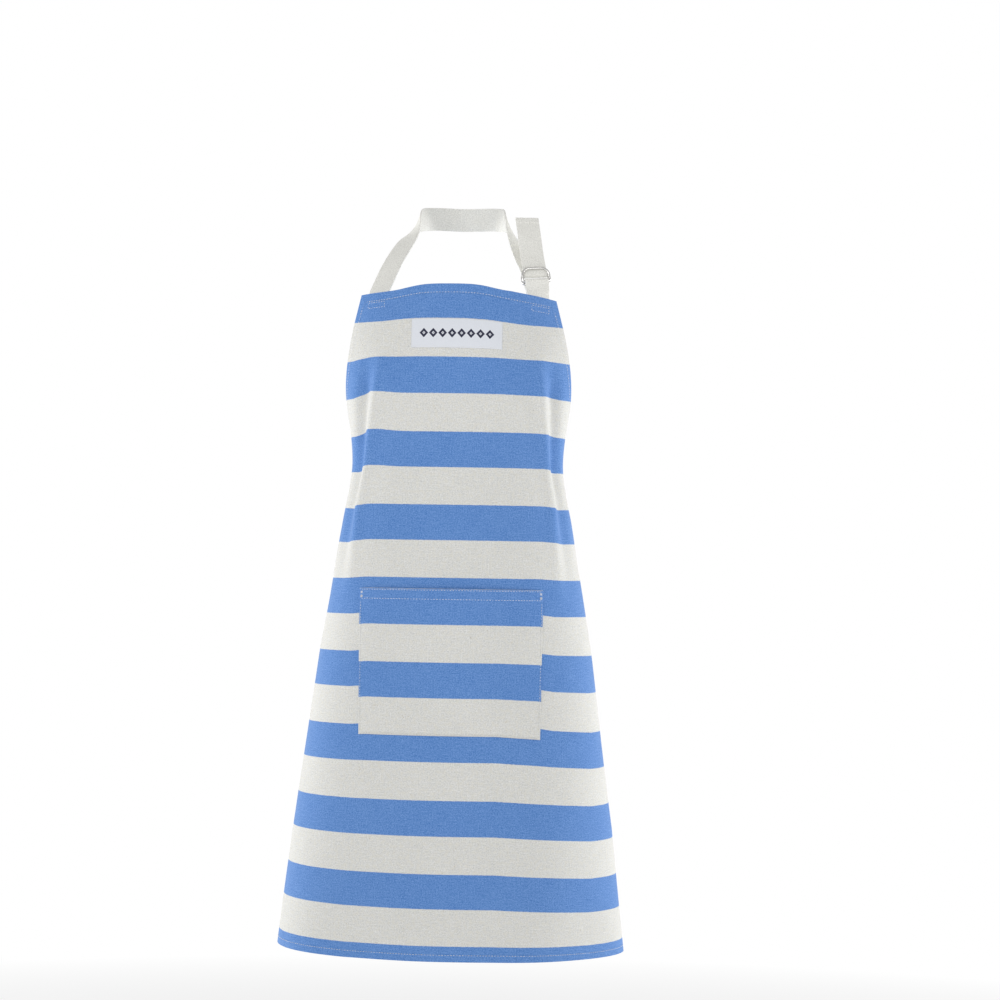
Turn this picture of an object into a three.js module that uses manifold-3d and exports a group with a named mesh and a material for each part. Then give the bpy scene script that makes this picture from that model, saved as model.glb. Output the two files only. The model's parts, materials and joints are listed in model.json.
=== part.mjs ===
// A butcher apron as it hangs on its wearer: one canvas panel with a bib, a patch pocket, a woven
// label, an adjustable neck strap on a pair of D-rings, and waist ties knotted in a bow behind.
// Millimetres, +Z up. The wearer faces -Y and +X is the wearer's left. The origin is at the nape,
// on the inner face of the neck strap.
// The cloth is described by its flat pattern: u runs across it from the centre front, and v runs
// down it from the top of the bib.
import * as THREE from 'three';
import { mergeVertices } from 'three/addons/utils/BufferGeometryUtils.js';
import Module from 'manifold-3d';

// Cut sizes of the panel
const apronLength = 900;
const sideWidth = 680;
const bibWidth = 280;
const armholeDrop = 290;
const armholeFlare = 35; // how far the armhole curve leans out below the bib's corner
const armholeReach = 125; // how far it runs in level from the side
const bibCrown = 5; // the bib's corners lie this much below its middle
const clothThick = 0.9;
const sewnGap = 0.3; // between pieces that are sewn together
const hemFold = 0.8; // room for the turned-in hem between the cloth and a tape sewn behind it

// Hems, measured from the edge to the stitching
const bibHem = 11;
const armholeHem = 8;
const sideHem = 9;
const bottomHem = 9;

// Pocket and label
const pocketWidth = 250;
const pocketHeight = 195;
const pocketDrop = 404; // bib top to pocket top
const pocketGape = 10; // how far the mouth stands off the panel
const pocketHemRows = [2, 14];
const pocketEdgeInset = 2;
const tackLength = 3.5; // bar tack at a pocket corner, along the mouth
const labelWidth = 122;
const labelHeight = 38;
const labelDrop = 45.5;
const labelThick = 0.6;
const labelInset = 1.5;

// Sewing thread, as one raised line per row of stitches
const threadWidth = 0.9;
const threadThick = 0.5;
const threadLift = 0.4; // clearance under a line of stitches

// Tape of the neck strap, ring tab and ties
const tapeWidth = 32;
const tapeThick = 1.4;
const tapeHem = 8;
const strapInset = 28; // strap and tab centres, in from the bib's corners
const tapeUnderlap = 21; // length sewn behind the bib
const tapeLean = 0.18; // sideways lean of the sewn ends, per millimetre of v
const tieUnderlap = 36;
const tieDrop = 22; // tie's centre below the armhole's end
const anchorDrop = [13.5, 21]; // upper and lower rows of the stitching that holds strap and tab
const anchorInset = 3; // from a sewn tape's edges to its stitching

// D-rings
const wireRadius = 1.6;
const ringSide = 0.8; // clearance between the tape's edge and the ring's limb
const ringLimb = 8.6; // height of the straight limbs above the bar
const ringShoulder = 10.4; // radius of the shoulders
const ringCorner = 3;
const ringLift = 16.5; // inner ring's bar above the bib's edge
const ringFit = 0.3; // clearance between wire and the tab folded round it
const ringStep = [2, 3.9]; // outer ring's bar from the inner ring's bar: up, and forward
const ringTilt = 10; // degrees that the outer ring leans forward of the inner one
const strapBend = 3.8; // radius of the strap's turn round the inner ring
const strapSlack = 0.4; // how far that turn hangs below the ring's shoulders
const tailLength = 84; // free tail above the rings

// Bow
const knotWidth = 24;
const knotWall = 1.6;
const knotBack = 4.4;
const knotRoom = [-1.1, 3.1]; // the space inside the knot, outwards from the body
const knotMargin = 0.5;

const bibTopHeight = -115; // top of the bib below the nape

// The wearer's outline at levels down the cloth: half width, depth from the widest line to the
// front and to the back, place of the front, and squareness (2 is an ellipse)
const wearer = [
  { v: 0, half: 158, front: 95, back: 75, frontY: -190, square: 2.2 },
  { v: 105, half: 159, front: 112, back: 82, frontY: -203, square: 2.5 },
  { v: 225, half: 144, front: 101, back: 86, frontY: -193, square: 2.6 },
  { v: 310, half: 157, front: 108, back: 100, frontY: -195, square: 2.45 },
  { v: 410, half: 173, front: 116, back: 112, frontY: -198.5, square: 2.3 },
  { v: 500, half: 188, front: 122, back: 118, frontY: -200, square: 2.2 },
  { v: 900, half: 239, front: 165, back: 130, frontY: -205, square: 2.0 },
];

const overPanel = clothThick / 2;
const bibHalf = bibWidth / 2;
const sideHalf = sideWidth / 2;
const behindHem = clothThick / 2 + hemFold + tapeThick / 2; // middle of a tape sewn behind the panel
const strapU = bibHalf - strapInset;
const tieV = armholeDrop + tieDrop;
const wasm = await Module();
wasm.setup();

const vec = (x, y, z) => new THREE.Vector3(x, y, z);
const mix = (a, b, t) => a + (b - a) * t;

// ---- The surface that the cloth follows ----

// One value of the wearer's outline at level v, on a smooth curve through the levels
function outlineValue(key, v) {
  const last = wearer.length - 1;
  let i = wearer.findIndex((level) => level.v > v) - 1;
  if (v >= wearer[last].v) {
    i = last - 1;
  }
  i = Math.max(i, 0);
  const slope = (k) => {
    const low = wearer[Math.max(k - 1, 0)];
    const high = wearer[Math.min(k + 1, last)];
    return (high[key] - low[key]) / (high.v - low.v);
  };
  const span = wearer[i + 1].v - wearer[i].v;
  const t = (v - wearer[i].v) / span;
  if (t > 1) {
    return wearer[last][key] + slope(last) * (v - wearer[last].v);
  }
  const rise = wearer[i + 1][key] - wearer[i][key];
  const near = slope(i) * span - rise;
  const far = rise - slope(i + 1) * span;
  return wearer[i][key] + rise * t + t * (1 - t) * (near * (1 - t) + far * t);
}

// Height of level v: the centre front line has its true length
const levelStep = 5;
const heights = [bibTopHeight];
function heightAt(v) {
  while (heights.length * levelStep <= v + 2 * levelStep) {
    const from = (heights.length - 1) * levelStep;
    const run = outlineValue('frontY', from + levelStep) - outlineValue('frontY', from);
    heights.push(heights[heights.length - 1] - Math.sqrt(levelStep ** 2 - run ** 2));
  }
  const i = Math.max(Math.floor(v / levelStep), 0);
  return mix(heights[i], heights[i + 1], v / levelStep - i);
}

// The outline at level v as points from the centre front to the centre back, with their distances
const outlines = new Map();
const outlineSteps = 240;
function outlineAt(v) {
  if (outlines.has(v)) {
    return outlines.get(v);
  }
  const [half, front, back, frontY, square] = ['half', 'front', 'back', 'frontY', 'square'].map(
    (key) => outlineValue(key, v)
  );
  const points = [];
  for (let i = 0; i <= outlineSteps; i++) {
    const angle = (Math.PI * i) / outlineSteps;
    const depth = angle < Math.PI / 2 ? front : back;
    const reach =
      ((Math.sin(angle) / half) ** square + (Math.abs(Math.cos(angle)) / depth) ** square) **
      (-1 / square);
    const x = reach * Math.sin(angle);
    const y = frontY + front - reach * Math.cos(angle);
    const before = points[i - 1];
    const length = before ? before.length + Math.hypot(x - before.x, y - before.y) : 0;
    points.push({ x, y, length });
  }
  outlines.set(v, points);
  return points;
}

function outlinePoint(u, v) {
  const points = outlineAt(v);
  const distance = Math.abs(u);
  let low = 0;
  let high = points.length - 1;
  while (high - low > 1) {
    const middle = (low + high) >> 1;
    if (points[middle].length > distance) {
      high = middle;
    } else {
      low = middle;
    }
  }
  const [a, b] = [points[low], points[high]];
  const t = (distance - a.length) / (b.length - a.length);
  return vec(Math.sign(u) * mix(a.x, b.x, t), mix(a.y, b.y, t), heightAt(v));
}

// Outward direction of the surface at (u, v)
function outlineNormal(u, v) {
  const reach = 4;
  const across = outlinePoint(u + reach, v).sub(outlinePoint(u - reach, v));
  const down = outlinePoint(u, v + reach).sub(outlinePoint(u, Math.max(v - reach, 0)));
  return down.cross(across).normalize();
}

// ---- The panel's flat pattern, as a grid that every sewn piece follows ----

const armholeCurve = new THREE.CubicBezierCurve(
  new THREE.Vector2(bibHalf, bibCrown),
  new THREE.Vector2(bibHalf + armholeFlare, armholeDrop * 0.38),
  new THREE.Vector2(sideHalf - armholeReach, armholeDrop * 0.86),
  new THREE.Vector2(sideHalf, armholeDrop)
);
const bibRows = 11;
const skirtRows = Math.ceil((apronLength - armholeDrop) / 41);
const innerColumns = 32;
const crownFade = 60; // the crown of the bib's edge dies out this far down

// The panel's edge at each row, as half width and level
const rowEdges = [];
for (let i = 0; i <= bibRows; i++) {
  const { x, y } = armholeCurve.getPoint(i / bibRows);
  rowEdges.push({ u: x, v: y });
}
for (let i = 1; i <= skirtRows; i++) {
  rowEdges.push({ u: sideHalf, v: mix(armholeDrop, apronLength, i / skirtRows) });
}

// Columns as parts of the width between the side hems, with one more at each edge
const columns = [];
for (let j = 0; j <= innerColumns; j++) {
  columns.push((2 * j) / innerColumns - 1);
}

function edgeAt(row) {
  const i = Math.min(Math.floor(row), rowEdges.length - 2);
  const t = row - i;
  return { u: mix(rowEdges[i].u, rowEdges[i + 1].u, t), v: mix(rowEdges[i].v, rowEdges[i + 1].v, t) };
}

// Level of a point on a row: the bib's edge rises to its crown at the middle
function levelOn(edge, u) {
  const rise = bibCrown * (1 - (u / edge.u) ** 2);
  return edge.v - rise * Math.max(0, 1 - (edge.v - bibCrown) / crownFade);
}

const grid = rowEdges.map((edge) => {
  const inner = columns.map((part) => part * (edge.u - sideHem));
  return [-edge.u, ...inner, edge.u].map((u) => {
    const v = levelOn(edge, u);
    return { at: outlinePoint(u, v), out: outlineNormal(u, v) };
  });
});

// Row and column of (u, v) in the grid, as fractions
function cellOf(u, v) {
  let low = 0;
  let high = rowEdges.length - 1;
  for (let k = 0; k < 40; k++) {
    const middle = (low + high) / 2;
    if (levelOn(edgeAt(middle), u) > v) {
      high = middle;
    } else {
      low = middle;
    }
  }
  return { row: low, column: columnOf(u, edgeAt(low).u) };
}

// A point on the sewn panel at (u, v), lifted off the middle of the cloth, and its direction out.
// Each cell of the grid is two flat triangles, on either side of its diagonal.
function onPanel(u, v, lift) {
  const { row, column } = cellOf(u, v);
  const i = Math.min(Math.floor(row), rowEdges.length - 2);
  const j = Math.min(Math.floor(column), innerColumns + 1);
  const [down, over] = [row - i, column - j];
  const corner = down > over ? grid[i + 1][j] : grid[i][j + 1];
  const weights = [1 - Math.max(down, over), Math.abs(down - over), Math.min(down, over)];
  const blend = (key) => {
    const sum = vec(0, 0, 0);
    [grid[i][j], corner, grid[i + 1][j + 1]].forEach((station, k) => {
      sum.addScaledVector(station[key], weights[k]);
    });
    return sum;
  };
  const out = blend('out');
  return { at: blend('at').addScaledVector(out, lift), out: out.normalize() };
}

// Column number of u on a row, as a fraction, counting the edge columns
function columnOf(u, edgeU) {
  const hemU = edgeU - sideHem;
  if (Math.abs(u) > hemU) {
    const past = Math.min((Math.abs(u) - hemU) / sideHem, 1);
    return u > 0 ? innerColumns + 1 + past : 1 - past;
  }
  return 1 + ((u / hemU + 1) * innerColumns) / 2;
}

// ---- Solids ----

function closedGeometry(positions, indices) {
  const geometry = new THREE.BufferGeometry();
  geometry.setAttribute('position', new THREE.Float32BufferAttribute(positions, 3));
  geometry.setIndex(indices);
  return geometry;
}

// A sheet of cloth from rows of stations, its thickness shared between its two faces
function sheet(rows, thick) {
  const width = rows[0].length;
  const count = rows.length * width;
  const positions = [];
  for (const side of [1, -1]) {
    for (const station of rows.flat()) {
      positions.push(...station.at.clone().addScaledVector(station.out, (side * thick) / 2));
    }
  }
  const indices = [];
  const quad = (a, b, c, d) => indices.push(a, b, c, a, c, d);
  const place = (i, j) => i * width + j;
  for (let i = 0; i + 1 < rows.length; i++) {
    for (let j = 0; j + 1 < width; j++) {
      const [a, b, c, d] = [place(i, j), place(i + 1, j), place(i + 1, j + 1), place(i, j + 1)];
      quad(a, b, c, d);
      quad(a + count, d + count, c + count, b + count);
    }
  }
  const rim = [];
  for (let j = 0; j + 1 < width; j++) {
    rim.push([place(0, j), place(0, j + 1)], [place(rows.length - 1, j + 1), place(rows.length - 1, j)]);
  }
  for (let i = 0; i + 1 < rows.length; i++) {
    rim.push([place(i + 1, 0), place(i, 0)], [place(i, width - 1), place(i + 1, width - 1)]);
  }
  for (const [a, b] of rim) {
    quad(a, b, b + count, a + count);
  }
  return closedGeometry(positions, indices);
}

// A flat band through stations, square to each station's direction out
function band(stations, width, thick, closed = false) {
  const count = stations.length;
  const positions = [];
  stations.forEach((here, i) => {
    const before = stations[closed ? (i + count - 1) % count : Math.max(i - 1, 0)].at;
    const after = stations[closed ? (i + 1) % count : Math.min(i + 1, count - 1)].at;
    const along = after.clone().sub(before).normalize();
    const across = here.out.clone().cross(along).normalize();
    const up = along.cross(across);
    for (const [sideways, lift] of [[-1, -1], [1, -1], [1, 1], [-1, 1]]) {
      const corner = here.at.clone().addScaledVector(across, (sideways * width) / 2);
      positions.push(...corner.addScaledVector(up, (lift * thick) / 2));
    }
  });
  const indices = [];
  const spans = closed ? count : count - 1;
  for (let i = 0; i < spans; i++) {
    const next = ((i + 1) % count) * 4;
    for (let k = 0; k < 4; k++) {
      const [a, b] = [k, (k + 1) % 4];
      indices.push(i * 4 + a, i * 4 + b, next + b, i * 4 + a, next + b, next + a);
    }
  }
  if (!closed) {
    const end = (count - 1) * 4;
    indices.push(0, 3, 2, 0, 2, 1, end, end + 1, end + 2, end, end + 2, end + 3);
  }
  return closedGeometry(positions, indices);
}

// A tape through stations: flat across, or lying to the cloth where a station brings its own row
const tapeParts = [-1, -0.5, 0, 0.5, 1];
function tape(stations) {
  const rows = stations.map((here, i) => {
    if (here.row) {
      return here.row;
    }
    const before = stations[Math.max(i - 1, 0)].at;
    const after = stations[Math.min(i + 1, stations.length - 1)].at;
    const along = after.clone().sub(before).normalize();
    const across = here.out.clone().cross(along).normalize();
    const out = along.cross(across);
    return tapeParts.map((part) => {
      return { at: here.at.clone().addScaledVector(across, (part * tapeWidth) / 2), out };
    });
  });
  return sheet(rows, tapeThick);
}

// A station of a tape that lies to the cloth: place gives the cloth's station at each part of the
// tape's width
function lyingStation(place) {
  const row = tapeParts.map(place);
  return { at: row[2].at, out: row[2].out, row };
}

// Stations on a smooth curve through hand-placed ones
function through(stations, steps) {
  const path = new THREE.CatmullRomCurve3(stations.map((station) => station.at), false, 'centripetal');
  const facing = new THREE.CatmullRomCurve3(stations.map((station) => station.out), false, 'centripetal');
  const smooth = [];
  for (let i = 0; i <= steps; i++) {
    smooth.push({ at: path.getPoint(i / steps), out: facing.getPoint(i / steps).normalize() });
  }
  return smooth;
}

function toManifold(geometry) {
  const merged = mergeVertices(geometry, 1e-4);
  const mesh = new wasm.Mesh({
    numProp: 3,
    vertProperties: new Float32Array(merged.attributes.position.array),
    triVerts: new Uint32Array(merged.index.array),
  });
  return new wasm.Manifold(mesh);
}

function joined(geometries) {
  const solid = geometries.map(toManifold).reduce((whole, piece) => whole.add(piece));
  const { vertProperties, triVerts } = solid.getMesh();
  return closedGeometry(Array.from(vertProperties), Array.from(triVerts));
}

// ---- Cloth pieces ----

function panel() {
  return sheet(grid, clothThick);
}

// The pocket's rows and columns are the panel's own, so the two sheets lie parallel
function pocket() {
  const half = pocketWidth / 2;
  const us = columns.map((part) => part * (sideHalf - sideHem)).filter((u) => Math.abs(u) < half - 2);
  const foot = pocketDrop + pocketHeight;
  const inside = (v) => v > pocketDrop + 4 && v < foot - 4;
  const vs = rowEdges.map((edge) => edge.v).filter(inside);
  return sheet(
    [pocketDrop, ...vs, foot].map((v) => [-half, ...us, half].map((u) => onPocket(u, v, 0))),
    clothThick
  );
}

// A point on the pocket: sewn close at the sides and foot, standing off at the mouth
function onPocket(u, v, lift) {
  const level = 1 - (v - pocketDrop) / pocketHeight;
  const side = Math.max(0, 1 - Math.abs((2 * u) / pocketWidth) ** 2.5);
  return onPanel(u, v, clothThick + sewnGap + pocketGape * side * level ** 1.5 + lift);
}

function label() {
  const rows = [0, 0.5, 1].map((down) => {
    const v = labelDrop + labelHeight * down;
    return Array.from({ length: 17 }, (_, j) => onLabel(labelWidth * (j / 16 - 0.5), v, 0));
  });
  return sheet(rows, labelThick);
}

function onLabel(u, v, lift) {
  return onPanel(u, v, overPanel + sewnGap + labelThick / 2 + lift);
}

// ---- Stitching ----

// A row of stitches along a path of [u, v] on a cloth. It has a station wherever it crosses a row,
// a column or a diagonal of the grid, so that it lies parallel to the cloth all the way.
function stitching(onCloth, path, steps, lift, closed = false) {
  const creases = (t) => {
    const { row, column } = cellOf(...path(t));
    return [row, column, row - column];
  };
  const stations = [];
  const fine = 12; // parts of a step in which crossings are looked for
  for (let i = 0; i < steps * fine; i++) {
    const [from, to] = [i, i + 1].map((part) => part / (steps * fine));
    const [before, after] = [creases(from), creases(to)];
    const crossings = before.flatMap((start, k) => crossing(start, after[k]));
    const between = crossings.map((part) => mix(from, to, part)).sort((a, b) => a - b);
    stations.push(...(i % fine === 0 ? [from] : []), ...between);
  }
  if (!closed) {
    stations.push(1);
  }
  const points = stations.map((t) => onCloth(...path(t), lift + threadLift + threadThick / 2));
  return band(spacedOut(points, threadWidth, closed), threadWidth, threadThick, closed);
}

// Stations at least a spacing apart, which keeps both ends of a row
function spacedOut(points, spacing, closed) {
  const kept = [points[0]];
  for (const point of points) {
    if (point.at.distanceTo(kept[kept.length - 1].at) > spacing) {
      kept.push(point);
    }
  }
  const end = closed ? points[0] : points[points.length - 1];
  while (kept.length > 2 && kept[kept.length - 1].at.distanceTo(end.at) < spacing) {
    kept.pop();
  }
  return closed ? kept : [...kept, end];
}

// Where a value that runs from one number to another passes whole numbers, as parts of its run
function crossing(start, end) {
  const [low, high] = [Math.min(start, end), Math.max(start, end)];
  const parts = [];
  for (let whole = Math.ceil(low); whole < high; whole++) {
    parts.push((whole - start) / (end - start));
  }
  return parts;
}

const line = (from, to) => (t) => [mix(from[0], to[0], t), mix(from[1], to[1], t)];

// A path round straight sides, which starts and ends at the first and last corner
function corners(points) {
  return (t) => {
    const place = Math.min(t, 1) * (points.length - 1);
    const i = Math.min(Math.floor(place), points.length - 2);
    return line(points[i], points[i + 1])(place - i);
  };
}

function rectangle(left, right, top, foot) {
  return corners([[left, top], [left, foot], [right, foot], [right, top], [left, top]]);
}

function bibHemThread() {
  const half = bibHalf - sideHem;
  const path = (t) => {
    const u = mix(-half, half, t);
    return [u, bibHem + bibCrown * (u / bibHalf) ** 2];
  };
  return stitching(onPanel, path, 8, overPanel);
}

function armholeThread(side) {
  const first = 0.045; // part of the curve that the bib's hem takes up
  const path = (t) => {
    const place = mix(first, 1, t);
    const edge = armholeCurve.getPoint(place);
    const along = armholeCurve.getTangent(place);
    const u = Math.min(edge.x - along.y * armholeHem, sideHalf - sideHem);
    return [side * u, edge.y + along.x * armholeHem];
  };
  return stitching(onPanel, path, 24, overPanel);
}

function sideThread(side) {
  const u = side * (sideHalf - sideHem);
  const top = armholeDrop + 1.5 * armholeHem;
  return stitching(onPanel, line([u, top], [u, apronLength - 1.5 * bottomHem]), 6, overPanel);
}

function bottomHemThread() {
  const half = sideHalf - sideHem / 2;
  const v = apronLength - bottomHem;
  return stitching(onPanel, line([-half, v], [half, v]), 12, overPanel);
}

function pocketHemThread(inset) {
  const half = pocketWidth / 2 - pocketEdgeInset;
  const v = pocketDrop + inset;
  const ends = [[threadWidth - half, v], [half - threadWidth, v]];
  return stitching(onPocket, line(...ends), 14, overPanel);
}

function pocketEdgeThread() {
  const half = pocketWidth / 2 - pocketEdgeInset;
  const top = pocketDrop + pocketHemRows[1] + 3;
  const foot = pocketDrop + pocketHeight - pocketEdgeInset;
  const path = corners([[-half, top], [-half, foot], [half, foot], [half, top]]);
  return stitching(onPocket, path, 42, overPanel);
}

function pocketTack(side) {
  const half = pocketWidth / 2;
  const v = pocketDrop + mix(...pocketHemRows, 0.5);
  const ends = [half - pocketEdgeInset - tackLength + threadThick, half - pocketEdgeInset + threadThick];
  const stations = ends.map((u) => onPocket(side * u, v, overPanel + threadLift + threadThick / 2));
  return band(stations, pocketHemRows[1] - pocketHemRows[0] - 2, threadThick);
}

function labelThread() {
  const half = labelWidth / 2 - labelInset;
  const path = rectangle(-half, half, labelDrop + labelInset, labelDrop + labelHeight - labelInset);
  return stitching(onLabel, path, 32, labelThick / 2, true);
}

function tapeAnchorThread(side) {
  const half = tapeWidth / 2 - anchorInset;
  const middle = side * (strapU + tapeLean * anchorDrop[0]);
  const outline = rectangle(middle - half, middle + half, ...anchorDrop);
  const path = (t) => {
    const [u, below] = outline(t);
    return [u, below + bibCrown * (u / bibHalf) ** 2];
  };
  return stitching(onPanel, path, 16, overPanel, true);
}

function tieAnchorThread(side) {
  const far = sideHalf - 1.5 * sideHem;
  const near = sideHalf - tieUnderlap + anchorInset;
  const half = tapeWidth / 2 - anchorInset;
  const path = rectangle(side * near, side * far, tieV - half, tieV + half);
  return stitching(onPanel, path, 12, overPanel, true);
}

// A row of stitches across the end of a tape
function tapeEndThread(stations) {
  const end = stations[stations.length - 1];
  const along = end.at.clone().sub(stations[stations.length - 2].at).normalize();
  const across = end.out.clone().cross(along).normalize();
  const face = along.clone().cross(across);
  const middle = end.at.clone().addScaledVector(along, -tapeHem);
  middle.addScaledVector(face, tapeThick / 2 + threadLift + threadThick / 2);
  const half = tapeWidth / 2 - anchorInset;
  const row = [-half, half].map((side) => ({ at: middle.clone().addScaledVector(across, side), out: face }));
  return band(row, threadWidth, threadThick);
}

// ---- D-rings and the tapes that hold them ----

// The rings' own frame: up along the tab, front away from the wearer, and across
const ringUp = vec(-0.17, 0.42, 0.89).normalize();
const ringFront = vec(0.22, -1, 0.2).addScaledVector(ringUp, -vec(0.22, -1, 0.2).dot(ringUp)).normalize();
const ringAcross = ringUp.clone().cross(ringFront);
const tabPly = tapeThick + sewnGap; // from one ply of the folded tab to the other
const tabEdge = onPanel(strapU, bibCrown * (strapU / bibHalf) ** 2, -(behindHem + tabPly / 2));
const ringOrigin = tabEdge.at.clone().addScaledVector(ringUp, ringLift);

function inRings(up, front, across = 0) {
  const at = ringOrigin.clone().addScaledVector(ringUp, up);
  return at.addScaledVector(ringFront, front).addScaledVector(ringAcross, across);
}

function ringDirection(up, front) {
  return vec(0, 0, 0).addScaledVector(ringUp, up).addScaledVector(ringFront, front).normalize();
}

// Stations round an arc in the plane across the rings, facing its centre or away from it
function arc(centre, radius, fromDegrees, toDegrees, steps, facing) {
  return Array.from({ length: steps + 1 }, (_, i) => {
    const angle = THREE.MathUtils.degToRad(mix(fromDegrees, toDegrees, i / steps));
    const [front, up] = [Math.cos(angle), Math.sin(angle)];
    return {
      at: inRings(centre[0] + radius * up, centre[1] + radius * front),
      out: ringDirection(facing * up, facing * front),
    };
  });
}

const ringHalf = tapeWidth / 2 + ringSide + wireRadius;

// The D in its own plane, as [across, up] round from the bar's middle, with rounded corners
function ringOutline() {
  const shape = new THREE.Path();
  const shoulderFoot = ringLimb;
  shape.moveTo(0, 0);
  shape.lineTo(ringHalf - ringCorner, 0);
  shape.absarc(ringHalf - ringCorner, ringCorner, ringCorner, -Math.PI / 2, 0);
  shape.lineTo(ringHalf, shoulderFoot);
  shape.absarc(ringHalf - ringShoulder, shoulderFoot, ringShoulder, 0, Math.PI / 2);
  shape.lineTo(ringShoulder - ringHalf, shoulderFoot + ringShoulder);
  shape.absarc(ringShoulder - ringHalf, shoulderFoot, ringShoulder, Math.PI / 2, Math.PI);
  shape.lineTo(-ringHalf, ringCorner);
  shape.absarc(ringCorner - ringHalf, ringCorner, ringCorner, Math.PI, 1.5 * Math.PI);
  shape.closePath();
  const points = shape.getPoints(4);
  return points.filter((point, i) => i > 0 && point.distanceTo(points[i - 1]) > 1e-3);
}

// A wire ring on a bar at [up, front], leaning forward by a tilt
function dRing(bar, tiltDegrees) {
  const sides = 8;
  const tilt = THREE.MathUtils.degToRad(tiltDegrees);
  const rise = ringDirection(Math.cos(tilt), Math.sin(tilt));
  const face = ringDirection(-Math.sin(tilt), Math.cos(tilt));
  const outline = ringOutline();
  const count = outline.length;
  const positions = [];
  outline.forEach((point, i) => {
    const before = outline[(i + count - 1) % count];
    const after = outline[(i + 1) % count];
    const along = after.clone().sub(before).normalize();
    const centre = inRings(...bar, point.x).addScaledVector(rise, point.y);
    const outward = ringAcross.clone().multiplyScalar(along.y).addScaledVector(rise, -along.x);
    for (let k = 0; k < sides; k++) {
      const angle = (2 * Math.PI * k) / sides;
      const corner = centre.clone().addScaledVector(outward, wireRadius * Math.cos(angle));
      positions.push(...corner.addScaledVector(face, wireRadius * Math.sin(angle)));
    }
  });
  const indices = [];
  for (let i = 0; i < count; i++) {
    const next = (i + 1) % count;
    for (let k = 0; k < sides; k++) {
      const turn = (k + 1) % sides;
      const [a, b, c, d] = [i * sides + k, i * sides + turn, next * sides + turn, next * sides + k];
      indices.push(a, c, b, a, d, c);
    }
  }
  return closedGeometry(positions, indices);
}

// A length of tape behind the bib, from its end up to the bib's edge
function underBib(side, lift) {
  return [tapeUnderlap, tapeUnderlap / 2, 1].map((below) => {
    const middle = side * (strapU + tapeLean * below);
    return lyingStation((part) => {
      const u = middle - (part * tapeWidth) / 2;
      return onPanel(u, below + bibCrown * (u / bibHalf) ** 2, -lift);
    });
  });
}

// The same cloth station seen from its other face
function turned(station) {
  const flip = ({ at, out }) => ({ at, out: out.clone().negate() });
  return { ...flip(station), row: station.row.map(flip) };
}

// The tab comes up behind the bib, goes round both bars, and comes down again behind itself
function tabStations() {
  const fold = wireRadius + ringFit + tapeThick / 2;
  const lean = THREE.MathUtils.radToDeg(Math.atan2(ringStep[0], ringStep[1]));
  const front = arc(ringStep, fold, -29, 90 + lean, 8, 1);
  const back = arc([0, 0], fold, 90 + lean, 191, 5, 1);
  const frontPly = underBib(1, behindHem);
  const backPly = underBib(1, behindHem + tabPly);
  const facing = (forward) => ringDirection(0, forward);
  const low = -9;
  return [
    ...frontPly,
    { at: inRings(low, tabPly / 2), out: facing(1) },
    ...front,
    ...back,
    { at: inRings(low, -tabPly / 2), out: facing(-1) },
    ...backPly.reverse().map(turned),
  ];
}

// The strap: from behind the bib on the wearer's right, round the neck, down behind the rings, round
// the inner ring's arch, and up as a loose tail that the outer ring's arch lies on
function strapStations() {
  const free = (x, y, z, ...out) => ({ at: vec(x, y, z), out: vec(...out).normalize() });
  const neck = (side) => [
    free(side * 74, -92, -38, side * 0.72, -0.42, 0.55),
    free(side * 61, -52, -9, side * 0.98, -0.1, 0.15),
    free(side * 44, -16, -1, side * 0.75, 0.66, 0.05),
  ];
  const sewn = underBib(-1, behindHem);
  const loop = [
    sewn[sewn.length - 1],
    free(-92, -130, -76, -0.45, -0.78, 0.45),
    ...neck(-1),
    free(0, tapeThick / 2, 0, 0, 1, 0),
    ...neck(1).reverse(),
    { at: inRings(47, -15, -3), out: ringDirection(0.42, 0.9) },
    { at: inRings(30, -8.6, -1), out: ringDirection(0.36, 0.93) },
  ];
  const bendCentre = ringLimb + ringShoulder - strapBend - strapSlack;
  const turn = arc([bendCentre, 0], strapBend, 199, 360, 9, -1);
  const tail = [
    { at: inRings(bendCentre + 8, strapBend), out: ringDirection(0, -1) },
    { at: inRings(bendCentre + 30, strapBend), out: ringDirection(0, -1) },
    { at: inRings(bendCentre + 0.7 * tailLength, strapBend - 1, 1.5), out: ringDirection(0.1, -1) },
    { at: inRings(bendCentre + tailLength, strapBend - 4, 3), out: ringDirection(0.25, -1) },
  ];
  return [...sewn, ...through(loop, 62).slice(1), ...turn, ...through(tail, 8)];
}

// ---- Waist ties and their bow ----

const knotPlace = outlinePoint(outlineAt(tieV)[outlineSteps].length - 1e-6, tieV);
const knotY = knotPlace.y - behindHem - knotRoom[0] + knotWall - tapeThick / 2;

// A point of the bow, from the middle of the knot: x sideways, y away from the body
function inBow(x, y, z, out) {
  return { at: vec(x, knotY + y, knotPlace.z + z), out: vec(...out).normalize() };
}

// From its end inside the panel's side round to the back
function tieRun(side) {
  const halfRound = outlineAt(tieV)[outlineSteps].length;
  const hemColumn = sideHalf - sideHem;
  const columnStep = (2 * hemColumn) / innerColumns;
  const inside = [sideHalf - tieUnderlap, hemColumn - columnStep, hemColumn, sideHalf];
  const us = inside.filter((u, i) => i === 0 || u > sideHalf - tieUnderlap + 2);
  const level = (part) => tieV - (side * part * tapeWidth) / 2;
  const stations = us.map((u) => lyingStation((part) => onPanel(side * u, level(part), -behindHem)));
  const backEnd = halfRound - 1.6 * knotWidth;
  const steps = Math.max(Math.round((backEnd - sideHalf) / 12), 1);
  for (let i = 1; i <= steps; i++) {
    const u = side * mix(sideHalf, backEnd, i / steps);
    const out = outlineNormal(u, tieV).setZ(0).normalize();
    stations.push({ at: outlinePoint(u, tieV).addScaledVector(out, -behindHem), out });
  }
  return stations;
}

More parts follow.
